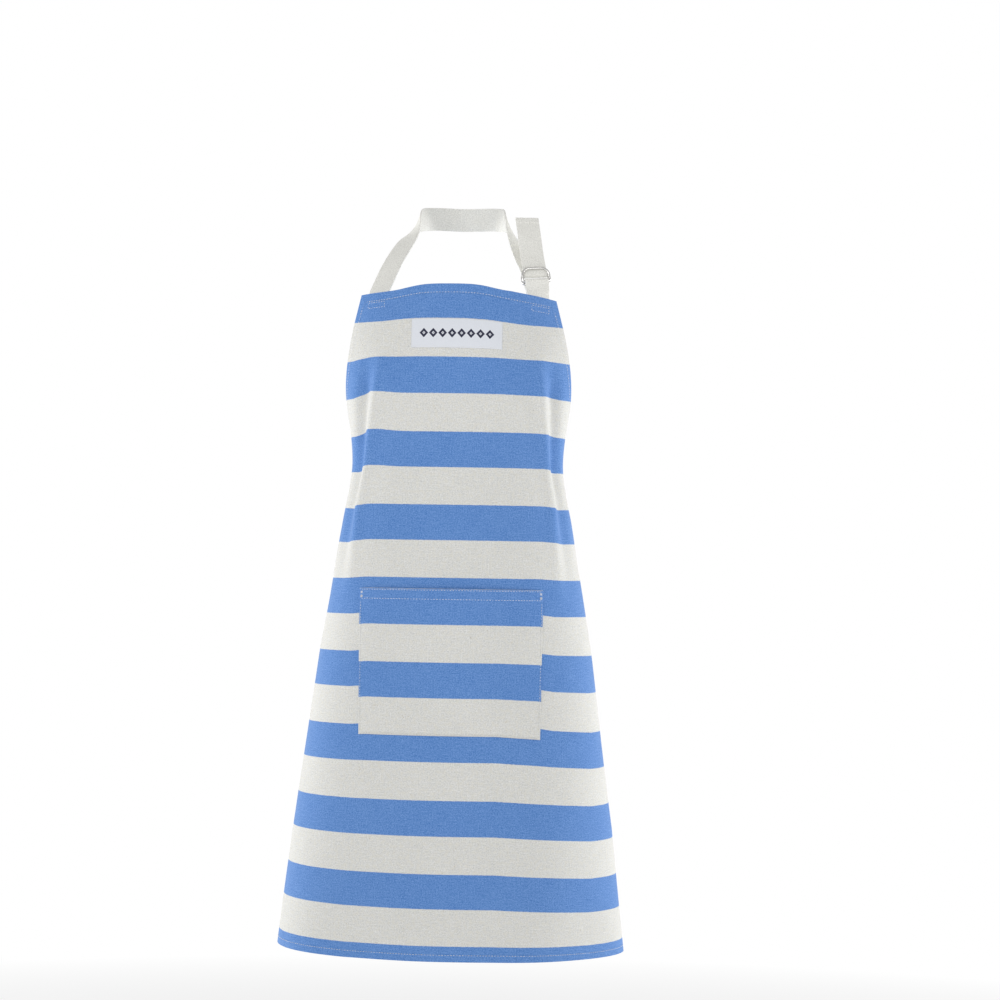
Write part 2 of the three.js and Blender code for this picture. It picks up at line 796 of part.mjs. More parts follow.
// The knot is a short square sleeve that the other tie passes through
function knotSleeve() {
  const high = tapeWidth / 2 + knotMargin;
  const outerBack = knotRoom[1] + knotBack;
  const outerFront = knotRoom[0] - knotWall;
  const outline = new THREE.Shape();
  outline.moveTo(outerFront, -high - knotWall);
  outline.lineTo(outerBack, -high - knotWall);
  outline.lineTo(outerBack, high + knotWall);
  outline.lineTo(outerFront, high + knotWall);
  outline.closePath();
  const room = new THREE.Path();
  room.moveTo(knotRoom[0], -high);
  room.lineTo(knotRoom[1], -high);
  room.lineTo(knotRoom[1], high);
  room.lineTo(knotRoom[0], high);
  room.closePath();
  outline.holes.push(room);
  const sleeve = new THREE.ExtrudeGeometry(outline, { depth: knotWidth, bevelEnabled: false });
  sleeve.translate(0, 0, -knotWidth / 2);
  sleeve.rotateY(Math.PI / 2);
  sleeve.rotateX(Math.PI / 2);
  sleeve.translate(0, knotY, knotPlace.z);
  sleeve.deleteAttribute('normal');
  sleeve.deleteAttribute('uv');
  return sleeve;
}

// It hangs from the knot's wall, with its inner edge below the knot's side
function leftTieTail() {
  const middle = tapeWidth / 2 - knotWidth / 2;
  return through(
    [
      inBow(middle, 3.5, 0.5 - tapeWidth / 2 - knotMargin - knotWall, [0, 1, 0]),
      inBow(middle, 5.6, -38, [0, 1, 0.1]),
      inBow(middle + 9, 13, -90, [0, 1, 0.15]),
      inBow(middle + 18, 24, -160, [0.02, 1, 0.14]),
      inBow(middle + 27, 33, -235, [0.05, 1, 0.08]),
      inBow(middle + 32, 38, -300, [0.05, 1, 0.04]),
    ],
    16
  );
}

// The wearer's left tie makes the knot, one loop of the bow and one tail
function leftTie() {
  const half = knotWidth / 2;
  const wallMiddle = knotRoom[0] - knotWall / 2;
  const run = tieRun(1);
  run.push(inBow(half + 6, wallMiddle, 0, [0, 1, 0]), inBow(half - 4, wallMiddle, 0, [0, 1, 0]));
  const loop = [
    inBow(-half + 4, 3.95, 0, [0, -1, 0]),
    inBow(-half - 3, 4.2, 0, [0.1, -1, 0]),
    inBow(-34, 7, -1, [0.05, -1, 0]),
    inBow(-60, 9, -3, [0.05, -1, 0]),
    inBow(-78, 12, -5, [0.5, -0.8, 0]),
    inBow(-84, 17, -6, [1, 0, 0]),
    inBow(-78, 22, -6, [0.5, 0.8, 0]),
    inBow(-60, 22, -4, [-0.1, 1, 0]),
    inBow(-34, 14, -2, [-0.3, 1, 0]),
    inBow(-half - 3, 7, 0, [-0.2, 1, 0]),
    inBow(-half + 4, 6.5, 0, [0, 1, 0]),
  ];
  const sections = [run, through(loop, 30), leftTieTail()];
  return joined([knotSleeve(), ...sections.map(tape)]);
}

// The wearer's right tie goes through the knot, makes the other loop and comes back through
function rightTieStations() {
  const half = knotWidth / 2;
  const backOut = [0, -1, 0];
  const free = [
    inBow(-half - 6, 0, 0, [0, 1, 0]),
    inBow(0, 0, 0, [0, 1, 0]),
    inBow(half + 6, 0.6, 0, [0, 1, 0]),
    inBow(40, 3, -1, [0, 1, 0]),
    inBow(66, 5, -4, [-0.2, 1, 0]),
    inBow(82, 10, -6, [-0.8, 0.5, 0]),
    inBow(82, 17, -6, [-0.8, -0.5, 0]),
    inBow(66, 20, -5, [0.1, -1, 0]),
    inBow(40, 13, -1, [0.3, -1, 0]),
    inBow(half + 6, 3.4, 0, [0.2, -1, 0]),
    inBow(half, 2.1, 0, backOut),
    inBow(0, 2, 0, backOut),
    inBow(-half, 2, 0, backOut),
  ];
  return [...tieRun(-1), ...through(free, 40), ...rightTieTail()];
}

// It leaves the knot sideways and turns down
function rightTieTail() {
  const turn = tapeWidth / 2 + 2;
  const edge = -knotWidth / 2 - 1;
  const rise = 0.005; // outwards for each degree of the turn
  const bend = [25, 50, 75].map((degrees) => {
    const angle = THREE.MathUtils.degToRad(degrees);
    return inBow(edge - turn * Math.sin(angle), 2 + rise * degrees, turn * (Math.cos(angle) - 1), [0, -1, 0]);
  });
  const hanging = [
    inBow(edge - turn, 2.6, -turn - 6, [0, -1, 0]),
    inBow(edge - turn - 3, 12, -90, [0, -1, -0.15]),
    inBow(edge - turn - 11, 23, -160, [0, -1, -0.14]),
    inBow(edge - turn - 18, 32, -235, [0, -1, -0.08]),
    inBow(edge - turn - 22, 37, -300, [0, -1, -0.04]),
  ];
  return [...bend, ...through(hanging, 14)];
}

// ---- The apron ----

const stripedCanvas = { color: 0x5f8cc6, roughness: 0.92, metalness: 0 };
const creamTape = { color: 0xe2e1d7, roughness: 0.9, metalness: 0 };
const labelCloth = { color: 0xe8e8f2, roughness: 0.8, metalness: 0 };
const sewingThread = { color: 0xf4f3ee, roughness: 0.75, metalness: 0 };
const nickel = { color: 0xc8c8ca, roughness: 0.22, metalness: 1 };

const apron = new THREE.Group();

function add(name, geometry, finish) {
  const mesh = new THREE.Mesh(geometry, new THREE.MeshStandardMaterial(finish));
  mesh.name = name;
  apron.add(mesh);
}

const strap = strapStations();
const rightTie = rightTieStations();

add('apron_panel', panel(), stripedCanvas);
add('pocket', pocket(), stripedCanvas);
add('label', label(), labelCloth);
add('neck_strap', tape(strap), creamTape);
add('ring_tab', tape(tabStations()), creamTape);
add('inner_d_ring', dRing([0, 0], 0), nickel);
add('outer_d_ring', dRing(ringStep, ringTilt), nickel);
add('left_waist_tie', leftTie(), creamTape);
add('right_waist_tie', tape(rightTie), creamTape);

add('bib_hem_thread', bibHemThread(), sewingThread);
add('left_armhole_thread', armholeThread(1), sewingThread);
add('right_armhole_thread', armholeThread(-1), sewingThread);
add('left_side_thread', sideThread(1), sewingThread);
add('right_side_thread', sideThread(-1), sewingThread);
add('bottom_hem_thread', bottomHemThread(), sewingThread);
add('pocket_hem_upper_thread', pocketHemThread(pocketHemRows[0]), sewingThread);
add('pocket_hem_lower_thread', pocketHemThread(pocketHemRows[1]), sewingThread);
add('pocket_edge_thread', pocketEdgeThread(), sewingThread);
add('pocket_left_tack', pocketTack(1), sewingThread);
add('pocket_right_tack', pocketTack(-1), sewingThread);
add('label_thread', labelThread(), sewingThread);
add('tab_anchor_thread', tapeAnchorThread(1), sewingThread);
add('strap_anchor_thread', tapeAnchorThread(-1), sewingThread);
add('left_tie_anchor_thread', tieAnchorThread(1), sewingThread);
add('right_tie_anchor_thread', tieAnchorThread(-1), sewingThread);
add('strap_end_thread', tapeEndThread(strap), sewingThread);
add('left_tie_end_thread', tapeEndThread(leftTieTail()), sewingThread);
add('right_tie_end_thread', tapeEndThread(rightTie), sewingThread);

export default apron;
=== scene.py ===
import json
import math

import bpy
import numpy as np
from mathutils import Matrix, Vector


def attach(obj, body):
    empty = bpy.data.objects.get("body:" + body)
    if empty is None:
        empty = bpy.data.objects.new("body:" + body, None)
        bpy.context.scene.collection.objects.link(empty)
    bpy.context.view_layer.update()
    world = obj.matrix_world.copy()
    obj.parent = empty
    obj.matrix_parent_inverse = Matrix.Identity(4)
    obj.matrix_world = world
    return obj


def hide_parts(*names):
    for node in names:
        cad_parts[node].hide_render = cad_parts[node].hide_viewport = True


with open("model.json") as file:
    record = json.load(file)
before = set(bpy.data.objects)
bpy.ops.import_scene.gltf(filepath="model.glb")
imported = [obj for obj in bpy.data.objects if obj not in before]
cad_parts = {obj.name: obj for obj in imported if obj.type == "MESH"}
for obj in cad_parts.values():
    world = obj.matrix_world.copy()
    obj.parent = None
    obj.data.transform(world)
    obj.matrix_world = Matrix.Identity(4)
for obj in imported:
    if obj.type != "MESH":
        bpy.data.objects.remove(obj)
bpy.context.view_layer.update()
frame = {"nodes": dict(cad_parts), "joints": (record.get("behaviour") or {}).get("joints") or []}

mm = 0.001
print("frame loaded:", len(frame["nodes"]), "nodes")

# The cloth is described by its flat pattern, as in the frame's source: u runs across from the
# centre front and v runs down from the top of the bib. Lengths are in millimetres until a point
# is placed.

cameraSetup = {
    "azimuth": 2.32,      # degrees round from the front, towards +X
    "distance": 4.0,      # from the strap's nape, in metres
    "height": -0.477,
    "pitch": 1.2,         # degrees up
    "yaw": 0.80,          # degrees that it looks to the right of the apron's middle
    "roll": 0.91,
    "focalRatio": 2.844,  # focal length in widths of the image
}


def makeCamera():
    azimuth = math.radians(cameraSetup["azimuth"])
    heading = azimuth - math.radians(cameraSetup["yaw"])
    pitch = math.radians(cameraSetup["pitch"])
    roll = math.radians(cameraSetup["roll"])
    forward = Vector((-math.sin(heading) * math.cos(pitch),
                      math.cos(heading) * math.cos(pitch), math.sin(pitch)))
    right = forward.cross(Vector((0, 0, 1))).normalized()
    up = right.cross(forward)
    leanedRight = right * math.cos(roll) + up * math.sin(roll)
    leanedUp = up * math.cos(roll) - right * math.sin(roll)
    turn = Matrix((leanedRight, leanedUp, -forward)).transposed()
    reach = cameraSetup["distance"]
    bpy.ops.object.camera_add(location=(math.sin(azimuth) * reach, -math.cos(azimuth) * reach,
                                        cameraSetup["height"]))
    camera = bpy.context.object
    camera.name = "camera"
    camera.rotation_euler = turn.to_euler()
    camera.data.sensor_width = 36
    camera.data.lens = cameraSetup["focalRatio"] * camera.data.sensor_width
    camera.data.clip_end = 100
    bpy.context.scene.camera = camera


stageSetup = {
    "floorHeight": -1.45,
    "floorSize": 60,
    "glowFrom": 1.2,     # the floor turns to plain white light between these distances
    "glowTo": 3.0,
    "worldLight": 0.55,
}


def makeStage():
    bpy.ops.mesh.primitive_plane_add(size=stageSetup["floorSize"],
                                     location=(0, 0, stageSetup["floorHeight"]))
    floor = bpy.context.object
    floor.name = "floor"
    paint = Paint("palePaper")
    place = paint.make("ShaderNodeTexCoord", {}, {}, "Object")
    distance = paint.make("ShaderNodeVectorMath", {"operation": "LENGTH"}, {0: place}, "Value")
    far = (distance - stageSetup["glowFrom"]) / (stageSetup["glowTo"] - stageSetup["glowFrom"])
    paper = paint.make("ShaderNodeBsdfDiffuse", {}, {"Color": (0.86, 0.86, 0.86, 1)}, 0)
    glow = paint.make("ShaderNodeEmission", {}, {"Color": (1, 1, 1, 1), "Strength": 1.0}, 0)
    mixed = paint.make("ShaderNodeMixShader", {}, {0: far.clamped(), 1: paper, 2: glow}, 0)
    paint.finish(mixed)
    floor.data.materials.append(paint.material)

    world = bpy.data.worlds.new("studio")
    bpy.context.scene.world = world
    world.use_nodes = True
    nodes, links = world.node_tree.nodes, world.node_tree.links
    sky = nodes["Background"]
    seen = nodes.new("ShaderNodeBackground")
    seen.inputs["Strength"].default_value = 1.0
    sky.inputs["Color"].default_value = seen.inputs["Color"].default_value = (1, 1, 1, 1)
    sky.inputs["Strength"].default_value = stageSetup["worldLight"]
    rays = nodes.new("ShaderNodeLightPath")
    either = nodes.new("ShaderNodeMixShader")
    for k, output in enumerate((rays.outputs["Is Camera Ray"], sky.outputs[0], seen.outputs[0])):
        links.new(output, either.inputs[k])
    links.new(either.outputs[0], nodes["World Output"].inputs[0])
    bpy.context.scene.view_settings.view_transform = "Standard"


lamps = [
    # name, place, where it points, size, watts
    ("key", (-1.6, -2.8, 0.7), (0, -0.15, -0.45), 1.8, 30),
    ("fill", (2.2, -2.4, -0.2), (0, -0.15, -0.5), 2.2, 16),
    ("sideLeft", (-2.4, 0.9, -0.5), (-0.1, -0.1, -0.6), 1.2, 40),
    ("sideRight", (2.4, 0.9, -0.5), (0.1, -0.1, -0.6), 1.2, 42),
    ("back", (0.6, 2.8, 0.2), (0, 0, -0.4), 1.8, 3),
]


def makeLamps():
    for name, place, target, size, watts in lamps:
        bpy.ops.object.light_add(type="AREA", location=place)
        lamp = bpy.context.object
        lamp.name = name
        lamp.data.size = size
        lamp.data.energy = watts
        aim = Vector(target) - Vector(place)
        lamp.rotation_euler = aim.to_track_quat("-Z", "Y").to_euler()


class Wire:  # a socket that takes part in Python arithmetic

    def __init__(self, paint, socket):
        self.paint, self.socket = paint, socket

    def maths(self, operation, *others):
        values = {i: value for i, value in enumerate((self, *others))}
        return self.paint.make("ShaderNodeMath", {"operation": operation}, values, 0)

    def __add__(self, other):
        return self.maths("ADD", other)

    __radd__ = __add__

    def __sub__(self, other):
        return self.maths("SUBTRACT", other)

    def __rsub__(self, other):
        return (self * -1) + other

    def __mul__(self, other):
        return self.maths("MULTIPLY", other)

    __rmul__ = __mul__

    def __truediv__(self, other):
        return self.maths("DIVIDE", other)

    def __abs__(self):
        return self.maths("ABSOLUTE")

    def sine(self):
        return self.maths("SINE")

    def part(self):  # what is left past the whole number
        return self.maths("FRACT")

    def clamped(self):
        return self.maths("MAXIMUM", 0.0).maths("MINIMUM", 1.0)

    def over(self, low, high):  # 0 below low, 1 above high, smooth between
        settings = {"interpolation_type": "SMOOTHSTEP"}
        values = {"Value": self, "From Min": low, "From Max": high}
        return self.paint.make("ShaderNodeMapRange", settings, values, 0)


class Paint:  # one material and its nodes

    def __init__(self, name):
        self.material = bpy.data.materials.new(name)
        self.material.use_nodes = True
        self.tree = self.material.node_tree
        self.tree.nodes.clear()

    def node(self, kind, settings, values):
        node = self.tree.nodes.new(kind)
        for key, value in settings.items():
            setattr(node, key, value)
        for key, value in values.items():
            if isinstance(value, Wire):
                self.tree.links.new(value.socket, node.inputs[key])
            else:
                node.inputs[key].default_value = value
        return node

    def make(self, kind, settings, values, output):
        return Wire(self, self.node(kind, settings, values).outputs[output])

    def blend(self, amount, first, second):  # colours
        values = {"Factor": amount, 6: first, 7: second}
        return self.make("ShaderNodeMix", {"data_type": "RGBA"}, values, 2)

    def noise(self, vector, scale, detail=2.0, rough=0.5):
        values = {"Vector": vector, "Scale": scale, "Detail": detail, "Roughness": rough}
        return self.make("ShaderNodeTexNoise", {}, values, 0)

    def stretched(self, vector, scale):
        return self.make("ShaderNodeMapping", {}, {"Vector": vector, "Scale": scale}, 0)

    def bump(self, height, distance, strength=1.0):
        values = {"Height": height, "Distance": distance, "Strength": strength}
        return self.make("ShaderNodeBump", {}, values, 0)

    def clothPlace(self):  # the cloth's own u and v, in metres
        vector = self.make("ShaderNodeUVMap", {"uv_map": "cloth"}, {}, 0)
        split = self.node("ShaderNodeSeparateXYZ", {}, {0: vector})
        return vector, Wire(self, split.outputs[0]), Wire(self, split.outputs[1])

    def attribute(self, name):
        return self.make("ShaderNodeAttribute", {"attribute_name": name}, {}, "Fac")

    def surface(self, colour, roughness, normal, fixed):
        values = {"Base Color": colour, "Roughness": roughness, "Normal": normal, **fixed}
        self.finish(self.make("ShaderNodeBsdfPrincipled", {}, values, 0))

    def finish(self, shader):
        self.node("ShaderNodeOutputMaterial", {}, {0: shader})


canvasLook = {
    "yarn": 0.95 * mm,           # from one yarn to the next
    "period": 98 * mm,
    "blueWidth": 48 * mm,
    "firstBlue": -3.3 * mm,      # where the stripes start above the bib's top
    "blue": (0.053, 0.166, 0.450, 1),
    "blueLight": (0.166, 0.316, 0.640, 1),
    "cream": (0.515, 0.520, 0.505, 1),
    "creamLight": (0.742, 0.742, 0.722, 1),
    "creamWarm": (0.655, 0.635, 0.560, 1),
    "fleck": (0.400, 0.330, 0.225, 1),
    "wander": 0.9 * mm,          # how far a stripe's edge strays
    "edgeSoftness": 0.004,       # of a stripe's edge, in parts of the period
    "weaveDepth": 0.16 * mm,
    "seamDepth": 0.6 * mm,
}
cottonFinish = {"Sheen Weight": 0.12, "Sheen Roughness": 0.45, "Specular IOR Level": 0.25}


# Striped canvas: weft-wise stripes, slubby yarns, seed flecks and the seams' puckers
def stripedCanvas(name, firstBlue, blueWidth):
    paint = Paint(name)
    place, u, v = paint.clothPlace()
    wander = paint.noise(paint.stretched(place, (260, 30, 1)), 1.0) - 0.5
    stripe = ((v + wander * canvasLook["wander"] - firstBlue) / canvasLook["period"]).part()
    edge, soft = blueWidth / canvasLook["period"], canvasLook["edgeSoftness"]
    isBlue = (1 - stripe.over(edge - soft, edge + soft)) * stripe.over(0.0, 1.5 * soft)

    yarn = math.pi / canvasLook["yarn"]
    weave = (u * yarn).sine() * (v * yarn).sine()
    weftSlub = paint.noise(paint.stretched(place, (55, 950, 1)), 1.0, 3.0)
    warpSlub = paint.noise(paint.stretched(place, (950, 45, 1)), 1.0, 3.0)
    grain = paint.noise(place, 520.0, 2.0, 0.6)
    cloudy = paint.noise(place, 14.0)
    speckle = paint.noise(place, 900.0, 1.0)

    light = 0.5 + (weftSlub - 0.5) * 0.9 + (warpSlub - 0.5) * 0.6 + (grain - 0.5) * 2.0
    light = (light + (speckle - 0.5) * 1.8 + weave * 0.16 + (cloudy - 0.5) * 0.2).clamped()
    blue = paint.blend(light, canvasLook["blue"], canvasLook["blueLight"])
    cream = paint.blend(light, canvasLook["cream"], canvasLook["creamLight"])
    cell = paint.make("ShaderNodeTexVoronoi", {}, {"Vector": place, "Scale": 240.0}, "Distance")
    chance = paint.noise(place, 60.0, 1.0).over(0.60, 0.70)
    fleck = (1 - cell.over(0.10, 0.22)) * chance
    warmth = paint.noise(place, 210.0).over(0.42, 0.66)
    cream = paint.blend(warmth * 0.45, cream, canvasLook["creamWarm"])
    flecked = paint.blend(fleck * 0.6, cream, canvasLook["fleck"])
    colour = paint.blend(isBlue, flecked, blue)

    hem = paint.attribute("hem")     # 0 at an edge, 1 on its line of stitches, more inside
    groove = 1 - abs(hem - 1).over(0.0, 0.30)
    fold = 1 - hem.over(1.05, 1.35)
    puckers = paint.noise(place, 110.0, 1.0) * (1 - abs(hem - 0.9).over(0.1, 1.0))
    height = weave * 0.5 + weftSlub * 0.9 + warpSlub * 0.6
    fine = paint.bump(height, canvasLook["weaveDepth"], 0.9)
    raised = fold * 0.7 - groove * 0.9 + puckers * 1.3
    seams = paint.make("ShaderNodeBump", {}, {
        "Height": raised, "Distance": canvasLook["seamDepth"], "Normal": fine}, 0)
    paint.surface(colour, 0.84 + grain * 0.14, seams, cottonFinish)
    return paint.material


tapeLook = {
    "cream": (0.600, 0.595, 0.555, 1),
    "creamLight": (0.920, 0.915, 0.870, 1),
    "rib": 1.9 * mm,        # from one twill line to the next
    "chevron": 8 * mm,      # the herringbone turns back this often across the tape
    "depth": 0.22 * mm,
}


def creamTape():
    paint = Paint("creamTape")
    place, u, v = paint.clothPlace()
    turn = abs((u / (2 * tapeLook["chevron"])).part() - 0.5) * (2 * tapeLook["chevron"])
    twill = ((v + turn) * (2 * math.pi / tapeLook["rib"])).sine() * 0.5 + 0.5
    yarns = paint.noise(paint.stretched(place, (1500, 120, 1)), 1.0)
    cloudy = paint.noise(place, 22.0)
    grain = paint.noise(place, 560.0, 2.0, 0.6)
    light = 0.5 + (twill - 0.5) * 0.35 + (yarns - 0.5) * 0.7
    light = (light + (cloudy - 0.5) * 0.5 + (grain - 0.5) * 1.6).clamped()
    colour = paint.blend(light, tapeLook["cream"], tapeLook["creamLight"])
    normal = paint.bump(twill * 0.8 + yarns * 0.6, tapeLook["depth"], 0.9)
    paint.surface(colour, 0.80 + yarns * 0.15, normal, cottonFinish)
    return paint.material


labelLook = {
    "ground": (0.60, 0.63, 0.69, 1),
    "groundLight": (0.74, 0.76, 0.80, 1),
    "ink": (0.020, 0.022, 0.050, 1),
    "repeat": 12.6 * mm,     # from one lozenge to the next
    "count": 8,
    "tall": 6.3 * mm,        # half height of a lozenge
    "wide": 5.9 * mm,
    "yarn": 0.42 * mm,
    "outline": (0.34, 0.98),     # where a lozenge's line starts and ends, from its heart
    "heart": 0.11,
    "softness": 0.04,            # of the line's edges
    "depth": 0.08 * mm,
}


# The label's motif is a row of plain lozenges, with no lettering
def wovenLabel(middleV):
    paint = Paint("wovenLabel")
    place, u, v = paint.clothPlace()
    yarn = math.pi / labelLook["yarn"]
    weave = (u * yarn).sine() * (v * yarn).sine()
    half = labelLook["repeat"] * labelLook["count"] / 2
    across = abs(((u + half) / labelLook["repeat"]).part() - 0.5) * labelLook["repeat"]
    down = abs(v - middleV)
    inRow = 1 - abs(u).over(half - 0.1 * mm, half + 0.1 * mm)
    reach = across / labelLook["wide"] + down / labelLook["tall"]
    (inner, outer), soft = labelLook["outline"], labelLook["softness"]
    line = (1 - reach.over(outer - soft, outer + soft)) * reach.over(inner - soft, inner + soft)
    heart = 1 - reach.over(labelLook["heart"] - 0.75 * soft, labelLook["heart"] + 0.75 * soft)
    motif = line * inRow + heart * inRow
    sparse = paint.noise(place, 900.0)
    ground = paint.blend(sparse, labelLook["ground"], labelLook["groundLight"])
    colour = paint.blend(motif.clamped(), ground, labelLook["ink"])
    raised = weave * 0.5 + motif * 1.5
    paint.surface(colour, 0.62 + sparse * 0.2, paint.bump(raised, labelLook["depth"]), {
        "Sheen Weight": 0.1, "Specular IOR Level": 0.35})
    return paint.material


threadLook = {
    "dull": (0.60, 0.61, 0.61, 1),
    "light": (0.84, 0.84, 0.83, 1),
    "twist": 2600.0,
    "depth": 0.1 * mm,
}


def cottonThread():
    paint = Paint("cottonThread")
    place = paint.make("ShaderNodeTexCoord", {}, {}, "Object")
    twist = paint.noise(place, threadLook["twist"])
    colour = paint.blend(twist, threadLook["dull"], threadLook["light"])
    normal = paint.bump(twist, threadLook["depth"])
    paint.surface(colour, 0.55 + twist * 0.25, normal, {"Sheen Weight": 0.2})
    return paint.material


nickelLook = {
    "dull": (0.66, 0.65, 0.63, 1),
    "light": (0.82, 0.81, 0.79, 1),
    "smudges": 180.0,
    "scratches": (400, 2500, 2500),
    "depth": 0.02 * mm,
}


def polishedNickel():
    paint = Paint("polishedNickel")
    place = paint.make("ShaderNodeTexCoord", {}, {}, "Object")
    scratches = paint.noise(paint.stretched(place, nickelLook["scratches"]), 1.0, 3.0)
    smudge = paint.noise(place, nickelLook["smudges"])
    colour = paint.blend(smudge, nickelLook["dull"], nickelLook["light"])
    normal = paint.bump(scratches, nickelLook["depth"], 0.5)
    paint.surface(colour, 0.12 + smudge * 0.16, normal, {"Metallic": 1.0})
    return paint.material


panelCut = {
    "length": 900,
    "sideWidth": 680,
    "bibWidth": 280,
    "armholeDrop": 290,
    "armholeFlare": 35,
    "armholeReach": 125,
    "bibCrown": 5,
    "crownFade": 60,
    "thick": 0.9,
    "hemThick": 1.6,
    "bibHem": 11,
    "armholeHem": 8,
    "sideHem": 9,
    "bottomHem": 9,
    "sideSewn": (11, 12),  # the side's stitches stop this far from its ends
    "bottomSewn": 4,       # and the bottom hem's
    "topHeight": -115,     # top of the bib below the nape
}

# The wearer's outline at levels down the cloth: level, half width, depth to the front, depth to
# the back, place of the front, squareness
wearer = np.array([
    [0, 158, 95, 75, -190, 2.2],
    [105, 159, 112, 82, -203, 2.5],
    [225, 144, 101, 86, -193, 2.6],
    [310, 157, 108, 100, -195, 2.45],
    [410, 173, 116, 112, -198.5, 2.3],
    [500, 188, 122, 118, -200, 2.2],
    [900, 239, 165, 130, -205, 2.0],
])


# Every value of the outline at levels v, on smooth curves
def outlineAt(v):
    levels = wearer[:, 0]
    last = len(levels) - 1
    v = np.asarray(v, float)
    i = np.clip(np.searchsorted(levels, v, side="right") - 1, 0, last - 1)
    low = np.maximum(np.arange(last + 1) - 1, 0)
    high = np.minimum(np.arange(last + 1) + 1, last)
    slopes = (wearer[high, 1:] - wearer[low, 1:]) / (levels[high] - levels[low])[:, None]
    span = (levels[i + 1] - levels[i])[:, None]
    t = (v - levels[i])[:, None] / span
    rise = wearer[i + 1, 1:] - wearer[i, 1:]
    near = slopes[i] * span - rise
    far = rise - slopes[i + 1] * span
    inside = wearer[i, 1:] + rise * t + t * (1 - t) * (near * (1 - t) + far * t)
    past = wearer[last, 1:] + slopes[last] * (v - levels[last])[:, None]
    return np.where(t > 1, past, inside)


def unit(vectors):
    return vectors / np.maximum(np.linalg.norm(vectors, axis=-1, keepdims=True), 1e-9)


# From the middle of the outline to its edge, at angles round from the front
def outlineReach(angles, half, front, back, square):
    depth = np.where(angles < math.pi / 2, front, back)
    return ((np.sin(angles) / half) ** square
            + (np.abs(np.cos(angles)) / depth) ** square) ** (-1 / square)


rowStep, columnStep = 2.5, 4.0
latticeRows = np.arange(-12.5, 917.6, rowStep)
latticeColumns = np.arange(-480, 480.1, columnStep)
halfTurn = np.linspace(0, math.pi, 721)      # angles from the front round to the back


def heightsAt(v):
    fine = np.arange(0, 930, 1.0)
    run = np.diff(outlineAt(fine)[:, 3], append=0)
    run[-1] = run[-2]
    drop = np.concatenate([[0], np.cumsum(np.sqrt(1 - run[:-1] ** 2))])
    return panelCut["topHeight"] - np.where(v < 0, v, np.interp(v, fine, drop))


# Points of the plain surface on a lattice of v and u
def plainLattice():
    points = np.empty((len(latticeRows), len(latticeColumns), 3))
    heights = heightsAt(latticeRows)
    for k, (half, front, back, frontY, square) in enumerate(outlineAt(latticeRows)):
        reach = outlineReach(halfTurn, half, front, back, square)
        x = reach * np.sin(halfTurn)
        y = frontY + front - reach * np.cos(halfTurn)
        length = np.concatenate([[0], np.cumsum(np.hypot(np.diff(x), np.diff(y)))])
        far = np.abs(latticeColumns)
        points[k, :, 0] = np.sign(latticeColumns) * np.interp(far, length, x)
        points[k, :, 1] = np.interp(far, length, y)
        points[k, :, 2] = heights[k]
    return points


def latticeNormals(points):
    down, across = np.gradient(points, axis=(0, 1))
    return unit(np.cross(down, across))


folds = {
    "bustRidge": 6.0,       # the front turns to the sides over a ridge below the bust
    "ridgeWidth": 10,
    "bustHollow": 8.0,
    "hollowWidth": 13,
    "hollowOut": 23,        # from the ridge to the hollow beside it
    "skirtWave": 5.0,       # slow waves of the skirt, growing to the hem
    "skirtFrom": 430,
    "drag": 1.6,            # pulls from where the ties are sewn
    "dragFrom": (335, 312),
    "dragReach": 75,
    "ripple": 0.8,
    # levels down the cloth and the values there
    "ridgeAt": ([90, 145, 240, 292, 405, 520], [112, 118, 128, 139, 152, 165]),
    "ridgeMoved": ([90, 200, 300], [10, 4, 0]),     # the right one is nearer the middle
    "ridgeStrength": ([85, 140, 250, 330, 420], [0, 1, 1, 0.6, 0]),
}


def softNoise(x, y, seed):
    waves = np.random.default_rng(seed)
    total = np.zeros_like(x)
    for _ in range(7):
        turn, phase = waves.uniform(0, 2 * math.pi, 2)
        rate = waves.uniform(0.6, 1.5)
        total += np.sin((x * math.cos(turn) + y * math.sin(turn)) * rate + phase)
    return total / 3


# How far the cloth stands off the plain surface
def foldsAt(u, v):
    side = np.abs(u)
    ridgeAt = np.interp(v, *folds["ridgeAt"])
    ridgeAt = ridgeAt - np.where(u < 0, np.interp(v, *folds["ridgeMoved"]), 0)
    fromHollow = side - ridgeAt - folds["hollowOut"]
    ridge = folds["bustRidge"] * np.exp(-((side - ridgeAt) / folds["ridgeWidth"]) ** 2)
    hollow = folds["bustHollow"] * np.exp(-(fromHollow / folds["hollowWidth"]) ** 2)
    lift = (ridge - hollow) * np.interp(v, *folds["ridgeStrength"])
    skirtLength = panelCut["length"] - folds["skirtFrom"]
    growth = np.clip((v - folds["skirtFrom"]) / skirtLength, 0, 1) ** 1.3
    waves = (np.sin(u / 47 + 0.6) * 0.55 + np.sin(u / 27 + 2.1 + v / 900) * 0.35
             + np.sin(u / 78 - 1.2) * 0.6)
    lift += folds["skirtWave"] * growth * waves
    tieU, tieLevel = folds["dragFrom"]
    fromTie = np.hypot(side - tieU, (v - tieLevel) * 1.2)
    turn = np.arctan2(v - tieLevel, tieU + 10 - side)
    pulls = np.sin(turn * 9 + 0.8 * np.sign(u)) * np.exp(-fromTie / folds["dragReach"])
    lift += folds["drag"] * pulls * np.clip(fromTie / 30, 0, 1)
    lift += folds["ripple"] * softNoise(u / 34, v / 60, 3) * np.clip(v / 60, 0.2, 1)
    return lift


